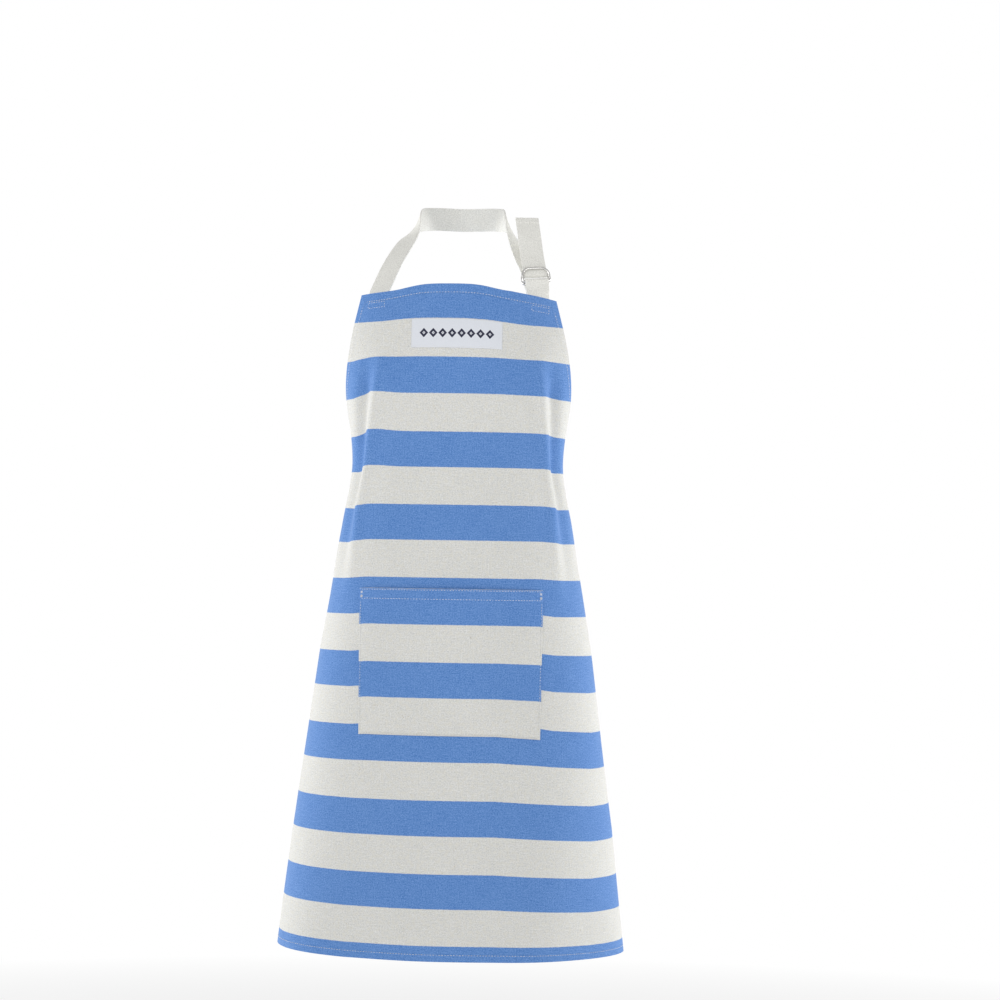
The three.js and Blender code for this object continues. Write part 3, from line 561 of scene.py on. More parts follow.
hang = {
    "bibRise": 7.5,        # the middle of the bib is held up between the straps
    "bibDroop": (2.0, 6.8),        # its corners hang lower: right, left
    "belowTab": 2.8,       # slack under the ring tab
    "creaseRise": 4.0,     # the right crease below the bust is pulled up
    "sideDroop": (5.5, 3.5),       # the sides beyond the creases hang lower: right, left
    "skirtDroop": 10.0,    # and so does the skirt's left side
    "skirtRise": 4.0,      # while its right side is pulled up
    "belowPocket": 3.4,
    "besidePocket": 2.4,
    "hemPull": 6.0,        # the left side of the hem is pulled in
}
hangStrength = {   # levels down the cloth and the part of each value that holds there
    "bibRise": ([0, 45, 96, 190], [1, 0.6, 0.3, 0]),
    "bibDroop": ([0, 45, 100], [1, 0.1, 0]),
    "belowTab": ([0, 45, 90], [0, 1, 0]),
    "creaseRise": ([50, 140, 200, 300], [0, 1, 0.9, 0]),
    "sideDroop": ([60, 125, 230, 330, 450], [0, 0.8, 1, 0.6, 0]),
    "skirtDroop": ([420, 600, 820, 900], [0, 1, 0.9, 0.15]),
    "skirtRise": ([600, 800], [0, 1]),
    "belowPocket": ([570, 650, 780, 890], [0, 1, 1, 0.1]),
    "besidePocket": ([380, 430, 570, 650], [0, 1, 1, 0]),
    "hemPull": ([720, 900], [0, 1]),
}
hangAcross = {     # from where to where across the cloth each value takes hold, and its most
    "bibDroop": (72, 140, 1.1),
    "belowTab": (10, 100, 1),
    "sideDroop": (122, 148, 1.3),
    "skirtDroop": (60, 210, 1),
    "skirtRise": (150, 300, 1),
    "besidePocket": (118, 143, 1),
    "hemPull": (120, 280, 1),
}


# 0 up to low and 1 at high, rising evenly to most
def ramp(values, low, high, most):
    return np.clip((values - low) / (high - low), 0, most)


# How far the cloth hangs below its plain place
def hangAt(u, v):
    side = np.abs(u)
    level = {name: np.interp(v, *strength) for name, strength in hangStrength.items()}
    wide = np.clip(60 + 0.4 * v, 60, 85)
    down = -hang["bibRise"] * np.exp(-((u + 10) / wide) ** 4) * level["bibRise"]
    down -= hang["creaseRise"] * np.exp(-((u + 115) / 28) ** 2) * level["creaseRise"]
    down += hang["belowPocket"] * level["belowPocket"]
    for name in ("bibDroop", "sideDroop"):
        right, left = hang[name]
        down += np.where(u > 0, left, right) * ramp(side, *hangAcross[name]) * level[name]
    for name, place in (("belowTab", u), ("skirtDroop", u), ("besidePocket", side)):
        down += hang[name] * ramp(place, *hangAcross[name]) * level[name]
    return down - hang["skirtRise"] * ramp(-u, *hangAcross["skirtRise"]) * level["skirtRise"]


def pullAt(u, v):  # how far the hem is pulled in
    strength = np.interp(v, *hangStrength["hemPull"])
    return hang["hemPull"] * ramp(u, *hangAcross["hemPull"]) * strength


plain = plainLattice()
columnsGrid, rowsGrid = np.meshgrid(latticeColumns, latticeRows)
hung = plain + latticeNormals(plain) * foldsAt(columnsGrid, rowsGrid)[..., None]
hung[..., 2] -= hangAt(columnsGrid, rowsGrid)
hung[..., 0] -= pullAt(columnsGrid, rowsGrid)
hungNormals = latticeNormals(hung)
print("hung cloth worked out")


def onLattice(values, u, v):
    x = np.clip((u - latticeColumns[0]) / columnStep, 0, len(latticeColumns) - 1.001)
    y = np.clip((v - latticeRows[0]) / rowStep, 0, len(latticeRows) - 1.001)
    i, j = y.astype(int), x.astype(int)
    s, t = (y - i)[..., None], (x - j)[..., None]
    upper = values[i, j] * (1 - t) + values[i, j + 1] * t
    lower = values[i + 1, j] * (1 - t) + values[i + 1, j + 1] * t
    return upper * (1 - s) + lower * s


# Points and directions out, at u and v on the hung cloth, lifted off the middle of the panel
def onCloth(u, v, lift=0.0):
    u, v = np.broadcast_arrays(np.asarray(u, float), np.asarray(v, float))
    out = unit(onLattice(hungNormals, u, v))
    return onLattice(hung, u, v) + out * np.asarray(lift, float)[..., None], out


def choose(*pieces):  # the first becomes the active one
    bpy.ops.object.select_all(action="DESELECT")
    for piece in reversed(pieces):
        piece.select_set(True)
        bpy.context.view_layer.objects.active = piece


def applyModifier(piece, kind, settings):
    choose(piece)
    modifier = piece.modifiers.new(kind.lower(), kind)
    for key, value in settings.items():
        setattr(modifier, key, value)
    bpy.ops.object.modifier_apply(modifier=modifier.name)


def smoothShading(piece, angle):
    choose(piece)
    bpy.ops.object.shade_smooth_by_angle(angle=math.radians(angle))


# A grid of cloth whose rows and columns are placed one by one. points are in millimetres, and flat
# holds each point's place in the flat pattern.
def clothGrid(name, points, flat):
    rows, columns = points.shape[:2]
    choose()
    bpy.ops.mesh.primitive_grid_add(x_subdivisions=columns - 1, y_subdivisions=rows - 1, size=1)
    piece = bpy.context.object
    piece.name = piece.data.name = name
    mesh = piece.data
    start = np.empty(len(mesh.vertices) * 3)
    mesh.vertices.foreach_get("co", start)
    start = start.reshape(-1, 3)
    column = np.rint((start[:, 0] + 0.5) * (columns - 1)).astype(int)
    row = rows - 1 - np.rint((start[:, 1] + 0.5) * (rows - 1)).astype(int)
    mesh.vertices.foreach_set("co", (points[row, column] * mm).ravel())
    layer = mesh.uv_layers[0]
    layer.name = "cloth"
    corner = np.empty(len(mesh.loops), int)
    mesh.loops.foreach_get("vertex_index", corner)
    layer.data.foreach_set("uv", (flat[row, column][corner] * mm).ravel())
    mesh.update()
    return piece, row, column


def giveAttribute(piece, name, values):
    attribute = piece.data.attributes.new(name, "FLOAT", "POINT")
    attribute.data.foreach_set("value", values.astype(np.float32))


def patchPlaces(cut, columns, rows):  # u and v over a patch sewn on the panel
    half = cut["width"] / 2
    u = np.linspace(-half, half, columns)[None, :]
    v = np.linspace(0, cut["height"], rows)[:, None] + cut["drop"]
    return np.broadcast_arrays(u, v)


def thickenPatch(piece, cut):
    applyModifier(piece, "SOLIDIFY", {"thickness": cut["thick"] * mm, "offset": -1})
    applyModifier(piece, "BEVEL", {
        "width": cut["round"] * mm, "segments": 2, "limit_method": "ANGLE"})
    smoothShading(piece, 50)


def setMaterial(piece, material):
    piece.data.materials.clear()
    piece.data.materials.append(material)


def handOver(piece, material, body, node):
    setMaterial(piece, material)
    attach(piece, body)
    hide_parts(node)


bibHalf = panelCut["bibWidth"] / 2
sideHalf = panelCut["sideWidth"] / 2


def armholeAt(t):  # a point of the armhole's edge and its direction
    t = np.asarray(t, float)[..., None]
    drop = panelCut["armholeDrop"]
    a, b, c, d = np.array([
        (bibHalf, panelCut["bibCrown"]),
        (bibHalf + panelCut["armholeFlare"], drop * 0.38),
        (sideHalf - panelCut["armholeReach"], drop * 0.86),
        (sideHalf, drop),
    ])
    place = (1 - t) ** 3 * a + 3 * (1 - t) ** 2 * t * b + 3 * (1 - t) * t ** 2 * c + t ** 3 * d
    along = 3 * ((1 - t) ** 2 * (b - a) + 2 * (1 - t) * t * (c - b) + t ** 2 * (d - c))
    return place, unit(along)


def crownAt(u):  # how far the bib's edge falls at u
    return panelCut["bibCrown"] * (u / bibHalf) ** 2


# How far inside the panel a point is, in parts of the hem there: 1 is on the stitches
def hemAt(u, v):
    edge, _ = armholeAt(np.linspace(0, 1, 240))
    side = np.abs(u)
    toArmhole = np.full(u.shape, 1e9)
    for edgeU, edgeV in edge:
        toArmhole = np.minimum(toArmhole, np.hypot(side - edgeU, v - edgeV))
    toSide = np.where(v >= panelCut["armholeDrop"] - 1, sideHalf - side, 1e9)
    return np.minimum.reduce([
        (v - crownAt(u)) / panelCut["bibHem"],
        toArmhole / panelCut["armholeHem"],
        toSide / panelCut["sideHem"],
        (panelCut["length"] - v) / panelCut["bottomHem"],
    ])


panelMesh = {"bibRows": 61, "skirtRows": 140, "columns": 151}


def makePanel(material):
    bibPart, _ = armholeAt(np.linspace(0, 1, panelMesh["bibRows"]))
    skirt = np.linspace(panelCut["armholeDrop"], panelCut["length"], panelMesh["skirtRows"])[1:]
    edgeU = np.concatenate([bibPart[:, 0], np.full(len(skirt), sideHalf)])[:, None]
    edgeV = np.concatenate([bibPart[:, 1], skirt])[:, None]
    part = np.linspace(-1, 1, panelMesh["columns"])[None, :]
    u = edgeU * part
    fade = np.clip(1 - (edgeV - panelCut["bibCrown"]) / panelCut["crownFade"], 0, 1)
    v = edgeV - panelCut["bibCrown"] * (1 - part ** 2) * fade
    outside, _ = onCloth(u, v, panelCut["thick"] / 2)
    panel, row, column = clothGrid("apron_cloth", outside, np.stack([u, v], 2))
    hem = hemAt(u, v)[row, column]
    giveAttribute(panel, "hem", hem)
    group = panel.vertex_groups.new(name="hem")
    weight = np.clip((1.45 - hem) / 0.3, 0, 1)
    for index in np.flatnonzero(weight > 0):
        group.add([int(index)], float(weight[index]), "REPLACE")
    applyModifier(panel, "SOLIDIFY", {
        "thickness": panelCut["hemThick"] * mm, "offset": -1, "vertex_group": "hem",
        "thickness_vertex_group": panelCut["thick"] / panelCut["hemThick"]})
    smoothShading(panel, 50)
    handOver(panel, material, "apron", "apron_panel")


pocketCut = {
    "width": 250,
    "height": 195,
    "drop": 404,         # bib top to pocket top
    "shift": -3.2,       # sewn this far off the panel's middle
    "flare": 0.02,       # its mouth is stretched by this much
    "lift": 1.2,         # from the panel's middle layer to its own
    "gape": 4.2,         # how much further off the mouth stands
    "puff": 1.6,         # and how much further the middle of the pocket
    "hemRows": (2, 14),
    "hemRowInset": 0.9,
    "edgeInset": 2,
    "edgeFrom": 17,      # the edge's stitches start this far below the mouth
    "tackRows": (0.2, 1.0, 1.8, 2.6),
    "tackSpan": (2.5, 13.5),
    "thick": 1.3,        # the cloth with its edges turned under
    "round": 0.4,
    "firstBlue": 404,
    "blueWidth": 48,
}


def pocketLift(u, v):  # off the panel's middle
    level = np.clip(1 - (v - pocketCut["drop"]) / pocketCut["height"], 0, 1)
    across = np.clip(1 - np.abs(2 * u / pocketCut["width"]) ** 2.5, 0, 1)
    sway = 1 + 0.16 * np.sin(u / 31 + 0.7) * across
    puff = pocketCut["puff"] * across * np.clip(4 * level * (1 - level), 0, 1)
    return pocketCut["lift"] + pocketCut["gape"] * across * level ** 1.5 * sway + puff


def onPocket(u, v, lift):
    level = np.clip(1 - (v - pocketCut["drop"]) / pocketCut["height"], 0, 1)
    wider = 1 + pocketCut["flare"] * level
    return onCloth(u * wider + pocketCut["shift"], v, pocketLift(u, v) + lift)


def makePocket(material):
    u, v = patchPlaces(pocketCut, 101, 79)
    outside, _ = onPocket(u, v, pocketCut["thick"] / 2)
    pocket, row, column = clothGrid("pocket_cloth", outside, np.stack([u, v], 2))
    fromSide = pocketCut["width"] / 2 - np.abs(u)
    fromEdge = np.minimum(fromSide, pocketCut["drop"] + pocketCut["height"] - v)
    fromTop = (v - pocketCut["drop"]) / pocketCut["hemRows"][1]
    hem = np.minimum(fromEdge / pocketCut["edgeInset"], np.maximum(fromTop, 0.02))
    giveAttribute(pocket, "hem", hem[row, column])
    thickenPatch(pocket, pocketCut)
    handOver(pocket, material, "apron", "pocket")


labelCut = {
    "width": 122,
    "height": 38,
    "drop": 45.5,        # bib top to label top
    "thick": 0.7,
    "round": 0.2,
    "lift": 0.85,        # from the panel's middle layer to its own
    "puff": 0.5,
    "inset": 1.5,        # of its stitches
}


def onLabel(u, v, lift):
    across = np.clip(1 - np.abs(2 * u / labelCut["width"]) ** 6, 0, 1)
    down = (v - labelCut["drop"]) / labelCut["height"]
    puff = labelCut["puff"] * across * np.clip(4 * down * (1 - down), 0, 1)
    return onCloth(u, v, labelCut["lift"] + puff + lift)


def makeLabel(material):
    u, v = patchPlaces(labelCut, 75, 25)
    outside, _ = onLabel(u, v, labelCut["thick"] / 2)
    label, _, _ = clothGrid("label_cloth", outside, np.stack([u, v], 2))
    thickenPatch(label, labelCut)
    handOver(label, material, "apron", "label")


tapeCut = {
    "width": 32,
    "thick": 1.4,
    "round": 0.45,       # rounding of its edges
    "behindHem": 1.95,   # middle of a tape sewn behind the panel, from the panel's middle
    "strapInset": 28,    # from the bib's corner to the middle of the tape
    "underlap": 21,      # how far the strap and the tab reach down behind the bib
    "lean": 0.18,
    "tieUnderlap": 36,   # how far a tie reaches in behind the side
    "tieDrop": 22,       # from the armhole's foot to a tie's middle
    "hemThick": 2.4,
    "endHem": 8,
    "hemEdge": 8.6,      # what is nearer to a hemmed end than this is thicker
    "hemRows": (8.9, 8.4, 8.0, 6.0, 4.0, 2.0, 0.9, 0.4, 0.0),    # rows this far from the end
    "slack": 0.3,        # between a tape and what it is folded round
    "anchorDrop": (13.5, 21),      # the stitches that hold it, from the bib's edge
    "anchorInset": 3,
}
strapU = bibHalf - tapeCut["strapInset"]
tieV = panelCut["armholeDrop"] + tapeCut["tieDrop"]
parts = np.linspace(-1, 1, 9)      # places across a tape


# Centripetal curve through given points, at steps + 1 even parts of its spans
def through(points, steps):
    points = np.asarray(points, float)
    points = np.vstack([2 * points[0] - points[1], points, 2 * points[-1] - points[-2]])
    spans = len(points) - 3
    made = []
    for k in range(steps + 1):
        place = min(k / steps * spans, spans - 1e-9)
        i = int(place)
        t = place - i
        p0, p1, p2, p3 = points[i:i + 4]
        d0, d1, d2 = [max(math.sqrt(np.linalg.norm(b[:3] - a[:3])), 1e-4)
                      for a, b in ((p0, p1), (p1, p2), (p2, p3))]
        m1 = ((p1 - p0) / d0 - (p2 - p0) / (d0 + d1) + (p2 - p1) / d1) * d1
        m2 = ((p2 - p1) / d1 - (p3 - p1) / (d1 + d2) + (p3 - p2) / d2) * d1
        made.append(p1 * (2 * t ** 3 - 3 * t ** 2 + 1) + m1 * (t ** 3 - 2 * t ** 2 + t)
                    + p2 * (3 * t ** 2 - 2 * t ** 3) + m2 * (t ** 3 - t ** 2))
    return np.array(made)


# Rows of a tape through stations, each a point and a direction out (6 numbers)
def flatRows(stations, widths):
    at, out = stations[:, :3], unit(stations[:, 3:6])
    across = unit(np.cross(out, unit(np.gradient(at, axis=0))))
    side = parts[None, :, None] * (widths / 2)[:, None, None]
    return at[:, None] + across[:, None] * side


def lengthAlong(points):  # from the first point to each of them
    lengths = np.linalg.norm(np.diff(points, axis=0), axis=1)
    return np.concatenate([[0], np.cumsum(lengths)])


# Rows with more of them at the end, where the tape's hem is folded over
def withHemRows(rows):
    along = lengthAlong(rows[:, 4])
    hem = along[-1] - np.array(tapeCut["hemRows"])
    places = np.concatenate([along[along < hem[0] - 0.5], hem])
    i = np.clip(np.searchsorted(along, places, side="right") - 1, 0, len(along) - 2)
    t = ((places - along[i]) / (along[i + 1] - along[i]))[:, None, None]
    return rows[i] * (1 - t) + rows[i + 1] * t, places


# A tape through rows of points, with a hem folded over at its end or none
def tapeFromRows(name, rows, material, hemmed=True):
    rows, along = withHemRows(rows) if hemmed else (rows, lengthAlong(rows[:, 4]))
    flat = np.empty((*rows.shape[:2], 2))
    flat[..., 0] = parts[None, :] * tapeCut["width"] / 2
    flat[..., 1] = along[:, None]
    tape, row, _ = clothGrid(name, rows, flat)
    group = tape.vertex_groups.new(name="hem")
    folded = along[-1] - along[row] < tapeCut["hemEdge"]
    for index in np.flatnonzero(folded & hemmed):
        group.add([int(index)], 1.0, "REPLACE")
    applyModifier(tape, "SOLIDIFY", {
        "thickness": tapeCut["hemThick"] * mm, "offset": 0, "vertex_group": "hem",
        "thickness_vertex_group": tapeCut["thick"] / tapeCut["hemThick"]})
    applyModifier(tape, "BEVEL", {
        "width": tapeCut["round"] * mm, "segments": 3, "limit_method": "ANGLE",
        "angle_limit": math.radians(50)})
    smoothShading(tape, 40)
    setMaterial(tape, material)
    return tape, float(along[-1]) * mm


def joinPieces(*pieces):
    choose(*pieces)
    bpy.ops.object.join()
    return pieces[0]


# The rings' own frame, from their joints: up along the tab, front, and across
joints = {joint["name"]: joint for joint in frame["joints"]}
ringAcross = np.array(joints["inner_ring_swing"]["axis"])
ringUp = np.array([-0.17, 0.42, 0.89])      # the way the strap pulls
ringUp = unit(ringUp - ringAcross * (ringUp @ ringAcross))
ringFront = np.cross(ringAcross, ringUp)
innerBar = np.array(joints["inner_ring_swing"]["pos_m"]) / mm
outerBar = np.array(joints["outer_ring_swing"]["pos_m"]) / mm


def inRings(up, front, across=0.0):
    return innerBar + ringUp * up + ringFront * front + ringAcross * across


def station(at, out):
    return np.concatenate([at, unit(np.asarray(out, float))])


def ringArc(centre, radius, fromDegrees, toDegrees, steps, facing):
    made = []
    for angle in np.radians(np.linspace(fromDegrees, toDegrees, steps + 1)):
        front, up = math.cos(angle), math.sin(angle)
        at = inRings(centre[0] + radius * up, centre[1] + radius * front)
        made.append(station(at, (ringUp * up + ringFront * front) * facing))
    return np.array(made)


def underBib(side, lift):  # rows of a tape behind the bib, up to its edge
    below = np.linspace(tapeCut["underlap"], 1, 8)[:, None]
    middle = side * (strapU + tapeCut["lean"] * below)
    u = middle - parts[None, :] * tapeCut["width"] / 2
    return onCloth(u, below + crownAt(u), -lift * np.ones(u.shape))[0]


strapRoute = {
    # listed as in the frame: point and direction out, for the wearer's left side
    "shoulder": (74, -92, -38, 0.72, -0.42, 0.55),
    "neckSide": (61, -52, -9, 0.98, -0.10, 0.15),
    "neckBack": (44, -16, -1, 0.75, 0.66, 0.05),
    "chest": (92, -130, -76, 0.45, -0.78, 0.45),
    # towards the rings: up, front, across, and how far the direction out leans up and forward
    "toRings": ((47, -15, -3, 0.42, 0.9), (30, -8.6, -1, 0.36, 0.93)),
    "bend": 3.8,           # radius of its turn round the inner ring's arch
    "bendUp": 14.8,        # from the inner bar
    "bendFrom": 199,       # degrees
    "tail": 91,            # from the turn to its end
    "flatShoulder": (0.45, -0.50, 0.74),   # the right side lies flatter on the shoulder
}


def makeStrap(material):
    def mirrored(values):
        return np.array(values) * (-1, 1, 1, -1, 1, 1)

    sewn = underBib(-1, tapeCut["behindHem"])
    _, lastOut = onCloth(np.array([-strapU]), np.array([4.0]))
    neck = [strapRoute[key] for key in ("shoulder", "neckSide", "neckBack")]
    bendUp, bend = strapRoute["bendUp"], strapRoute["bend"]
    loop = [
        station(sewn[-1, 4], lastOut[0]),
        mirrored(strapRoute["chest"]),
        mirrored((*strapRoute["shoulder"][:3], *strapRoute["flatShoulder"])),
        *[mirrored(place) for place in neck[1:]],
        np.array([0, 0.7, 0, 0, 1, 0]),
        *[np.array(place) for place in neck[::-1]],
        *[station(inRings(up, front, across), ringUp * leanUp + ringFront * leanFront)
          for up, front, across, leanUp, leanFront in strapRoute["toRings"]],
    ]
    turn = ringArc((bendUp, 0), bend, strapRoute["bendFrom"], 360, 14, -1)
    places = [(8, 0, 0, 0), (30, 0, 0, 0), (0.7 * strapRoute["tail"], -1, 1.5, 0.1),
              (strapRoute["tail"], -4, 3, 0.25)]
    tail = [station(inRings(bendUp + up, bend + front, across), ringUp * lean - ringFront)
            for up, front, across, lean in places]
    stations = np.vstack([through(loop, 150)[2:], turn, through(tail, 24)])
    rows = np.concatenate([sewn, flatRows(stations, np.full(len(stations), tapeCut["width"]))])
    strap, length = tapeFromRows("neck_tape", rows, material)
    handOver(strap, material, "apron", "neck_strap")
    return stations


def makeTab(material):
    fold = ringCut["wire"] + tapeCut["slack"] + tapeCut["thick"] / 2
    step = outerBar - innerBar
    up, front = step @ ringUp, step @ ringFront
    lean = math.degrees(math.atan2(up, front))
    ply = tapeCut["thick"] + tapeCut["slack"]
    frontPly = underBib(1, tapeCut["behindHem"])
    backPly = underBib(1, tapeCut["behindHem"] + ply)
    middle = np.vstack([
        station(inRings(-12, ply / 2 + 0.2), ringFront),
        station(inRings(-9, ply / 2), ringFront),
        ringArc((up, front), fold, -29, 90 + lean, 12, 1),
        ringArc((0, 0), fold, 90 + lean, 191, 9, 1),
        station(inRings(-9, -ply / 2), -ringFront),
        station(inRings(-12, -ply / 2 - 0.1), -ringFront),
    ])
    widths = np.full(len(middle), tapeCut["width"])
    rows = np.concatenate([frontPly, flatRows(middle, widths), backPly[::-1]])
    tab, length = tapeFromRows("ring_tab_tape", rows, material, hemmed=False)
    handOver(tab, material, "apron", "ring_tab")


ringCut = {
    "wire": 1.6,     # radius
    "half": 18.4,    # half of its width
    "limb": 8.6,     # straight part of its sides, from the bar
    "shoulder": 10.4,    # radius where the arch starts
    "corner": 3.0,   # radius at the ends of the bar
    "tilt": 10,      # degrees that the outer one lies forward of the inner
    "sides": 5,      # bevel resolution of the wire
}


def ringOutline():  # across and up, round from the bar's middle
    half, corner, limb, shoulder = (ringCut[key] for key in ("half", "corner", "limb", "shoulder"))
    turns = [
        ((half - corner, corner), corner, -90, 0),
        ((half - shoulder, limb), shoulder, 0, 90),
        ((shoulder - half, limb), shoulder, 90, 180),
        ((corner - half, corner), corner, 180, 270),
    ]
    points = [(-6, 0), (0, 0), (6, 0)]
    for (across, up), radius, start, end in turns:
        for angle in np.radians(np.linspace(start, end, 13)):
            points.append((across + radius * math.cos(angle), up + radius * math.sin(angle)))
    return points


# A wire bent to a D, its ends butted in the middle of the bar
def makeRing(name, bar, tilt, material, body, node):
    tilt = math.radians(tilt)
    rise = ringUp * math.cos(tilt) + ringFront * math.sin(tilt)
    outline = ringOutline()
    choose()
    bpy.ops.mesh.primitive_circle_add(vertices=len(outline), radius=ringCut["half"] * mm)
    ring = bpy.context.object
    ring.name = ring.data.name = name
    for vertex, (across, up) in zip(ring.data.vertices, outline):
        vertex.co = Vector((bar + ringAcross * across + rise * up) * mm)
    bpy.ops.object.convert(target="CURVE")
    ring.data.bevel_depth = ringCut["wire"] * mm
    ring.data.bevel_resolution = ringCut["sides"]
    bpy.ops.object.convert(target="MESH")
    smoothShading(ring, 60)
    handOver(ring, material, body, node)


bowCut = {
    "pinch": 17,          # width of a tape gathered in the knot
    "knotWide": 23,
    "knotFront": 10.2,    # how far the knot stands out from its middle
    "knotBack": 4.0,
    "knotHigh": 12.5,     # its half height
    "pleats": 1.5,        # depth of the pleats where a tape is gathered
    "wrap": 11,           # radius of the knot's band, laid flat
    "freeFrom": 46,       # the ties leave the wearer this far from the middle of the back
}
knotLength = 2 * math.pi * bowCut["wrap"] * mm
tieOutline = outlineAt([tieV])[0]     # the wearer's outline at the ties


def halfRound():  # length of the outline from the centre front to the centre back
    half, front, back, _, square = tieOutline
    reach = outlineReach(halfTurn, half, front, back, square)
    x, y = reach * np.sin(halfTurn), reach * np.cos(halfTurn)
    return float(np.sum(np.hypot(np.diff(x), np.diff(y))))


knotY = tieOutline[3] + tieOutline[1] + tieOutline[2] + 0.05
knotZ = float(heightsAt(np.array([float(tieV)]))[0])


# Stations of the bow from the middle of the knot, each x, y away from the body, z, the direction
# out and the tape's width there
def inBow(*rows):
    return np.array(rows, float) + (0, knotY, knotZ, 0, 0, 0, 0)


# Rows of a tape that is pleated wherever it is narrower than its cut width
def gatheredRows(stations):
    widths = np.clip(stations[:, 6], 10, tapeCut["width"])
    rows = flatRows(stations[:, :6], widths)
    gathered = np.clip((tapeCut["width"] - widths) / (tapeCut["width"] - bowCut["pinch"]), 0, 1)
    out = unit(stations[:, 3:6])
    wave = np.cos(parts * math.pi * 2) * bowCut["pleats"]
    return rows + out[:, None] * (wave[None, :] * gathered[:, None])[..., None]


# From its end inside the panel's side round to the back
def tieRun(side):
    u = np.concatenate([np.linspace(sideHalf - tapeCut["tieUnderlap"], sideHalf, 13),
                        np.linspace(sideHalf, halfRound() - bowCut["freeFrom"], 16)[1:]])
    u = u[:, None]
    v = tieV - side * parts[None, :] * tapeCut["width"] / 2
    u, v = np.broadcast_arrays(side * u, v)
    return onCloth(u, v, np.full(u.shape, -tapeCut["behindHem"]))


def runToKnot(side, stations):  # the run's rows and the free rows that carry on from it
    rows, out = tieRun(side)
    last = np.concatenate([rows[-1, 4], out[-1, 4] * (1, 1, 0), [tapeCut["width"]]])
    free = gatheredRows(through([last, *stations], 26))
    ease = np.clip(1 - np.arange(len(free)) / 6, 0, 1)[:, None, None]
    free = free + (rows[-1] - free[0]) * ease
    return np.concatenate([rows, free[1:]])


# The knot is the other tape wrapped once round the two gathered ones
def knotRows():
    across = np.linspace(-1, 1, 15)
    angles = np.linspace(0, 2 * math.pi, 41)[:, None]
    middle = (bowCut["knotFront"] - bowCut["knotBack"]) / 2
    deep = (bowCut["knotFront"] + bowCut["knotBack"]) / 2
    crown = 1 - 0.20 * np.abs(across) ** 3
    pleat = 0.55 * np.cos(across * 8.2 + 0.5 * np.sin(angles)) * (0.6 + 0.4 * np.cos(angles - 0.4))
    away, up = [np.sign(wave) * np.abs(wave) ** 0.8 for wave in (np.cos(angles), np.sin(angles))]
    x = across * bowCut["knotWide"] / 2 * (1 - 0.14 * np.sin(angles) ** 2) + 1.2 * np.sin(angles)
    y = middle + (deep * crown + pleat) * away
    z = (bowCut["knotHigh"] * crown + pleat) * up
    rows = np.stack(np.broadcast_arrays(x, knotY + y, knotZ + z), 2)
    flat = np.stack(np.broadcast_arrays(across * 16, angles * bowCut["wrap"]), 2)
    return rows, flat


def makeKnot(material):
    rows, flat = knotRows()
    knot, _, _ = clothGrid("knot", rows[::-1], flat[::-1])
    applyModifier(knot, "WELD", {"merge_threshold": 0.02 * mm})
    applyModifier(knot, "SOLIDIFY", {"thickness": tapeCut["thick"] * mm, "offset": -1})
    applyModifier(knot, "SUBSURF", {"levels": 1, "render_levels": 1})
    smoothShading(knot, 60)
    setMaterial(knot, material)
    return knot


leftLoop = inBow(
    (-6, 4.4, 0, 0, -1, 0, 17),
    (-13, 4.8, -1, 0.1, -1, 0, 18),
    (-22, 6.5, -2, 0.1, -1, 0, 23),
    (-36, 9, -4, 0.05, -1, 0, 30),
    (-60, 10, -8, 0.1, -1, 0, 32),
    (-76, 12.5, -12, 0.5, -0.8, 0.1, 32),
    (-83, 18, -14, 1, 0, 0.1, 32),
    (-78, 24, -13, 0.6, 0.8, 0.1, 32),
    (-60, 25, -9, -0.1, 1, 0, 32),
    (-36, 18, -4, -0.3, 1, 0, 30),
    (-22, 10.5, -1.5, -0.3, 1, 0, 23),
    (-13, 7.8, 0, -0.2, 1, 0, 18),
    (-5, 7.3, 0, 0, 1, 0, 17),
)
intoKnot = inBow(
    (34, -0.6, 0, 0, 1, 0, 31),
    (22, -1.0, 0, 0, 1, 0, 24),
    (12, -1.4, 0, 0, 1, 0, 18),
    (3, -1.4, 0, 0, 1, 0, 17),
)
leftTail = inBow(
    (1, 6.0, -5, 0, 1, 0, 16),
    (2.5, 7.0, -13, 0, 1, 0, 18),
    (4.5, 7.6, -24, 0.1, 1, 0.05, 25),
    (7, 8.5, -42, 0.1, 1, 0.1, 32),
    (13, 13.5, -90, -0.05, 1, 0.15, 32),
    (22, 24, -160, 0.08, 1, 0.14, 32),
    (31, 33, -235, 0.14, 1, 0.08, 32),
    (36, 38, -300, 0.02, 1, 0.04, 32),
)
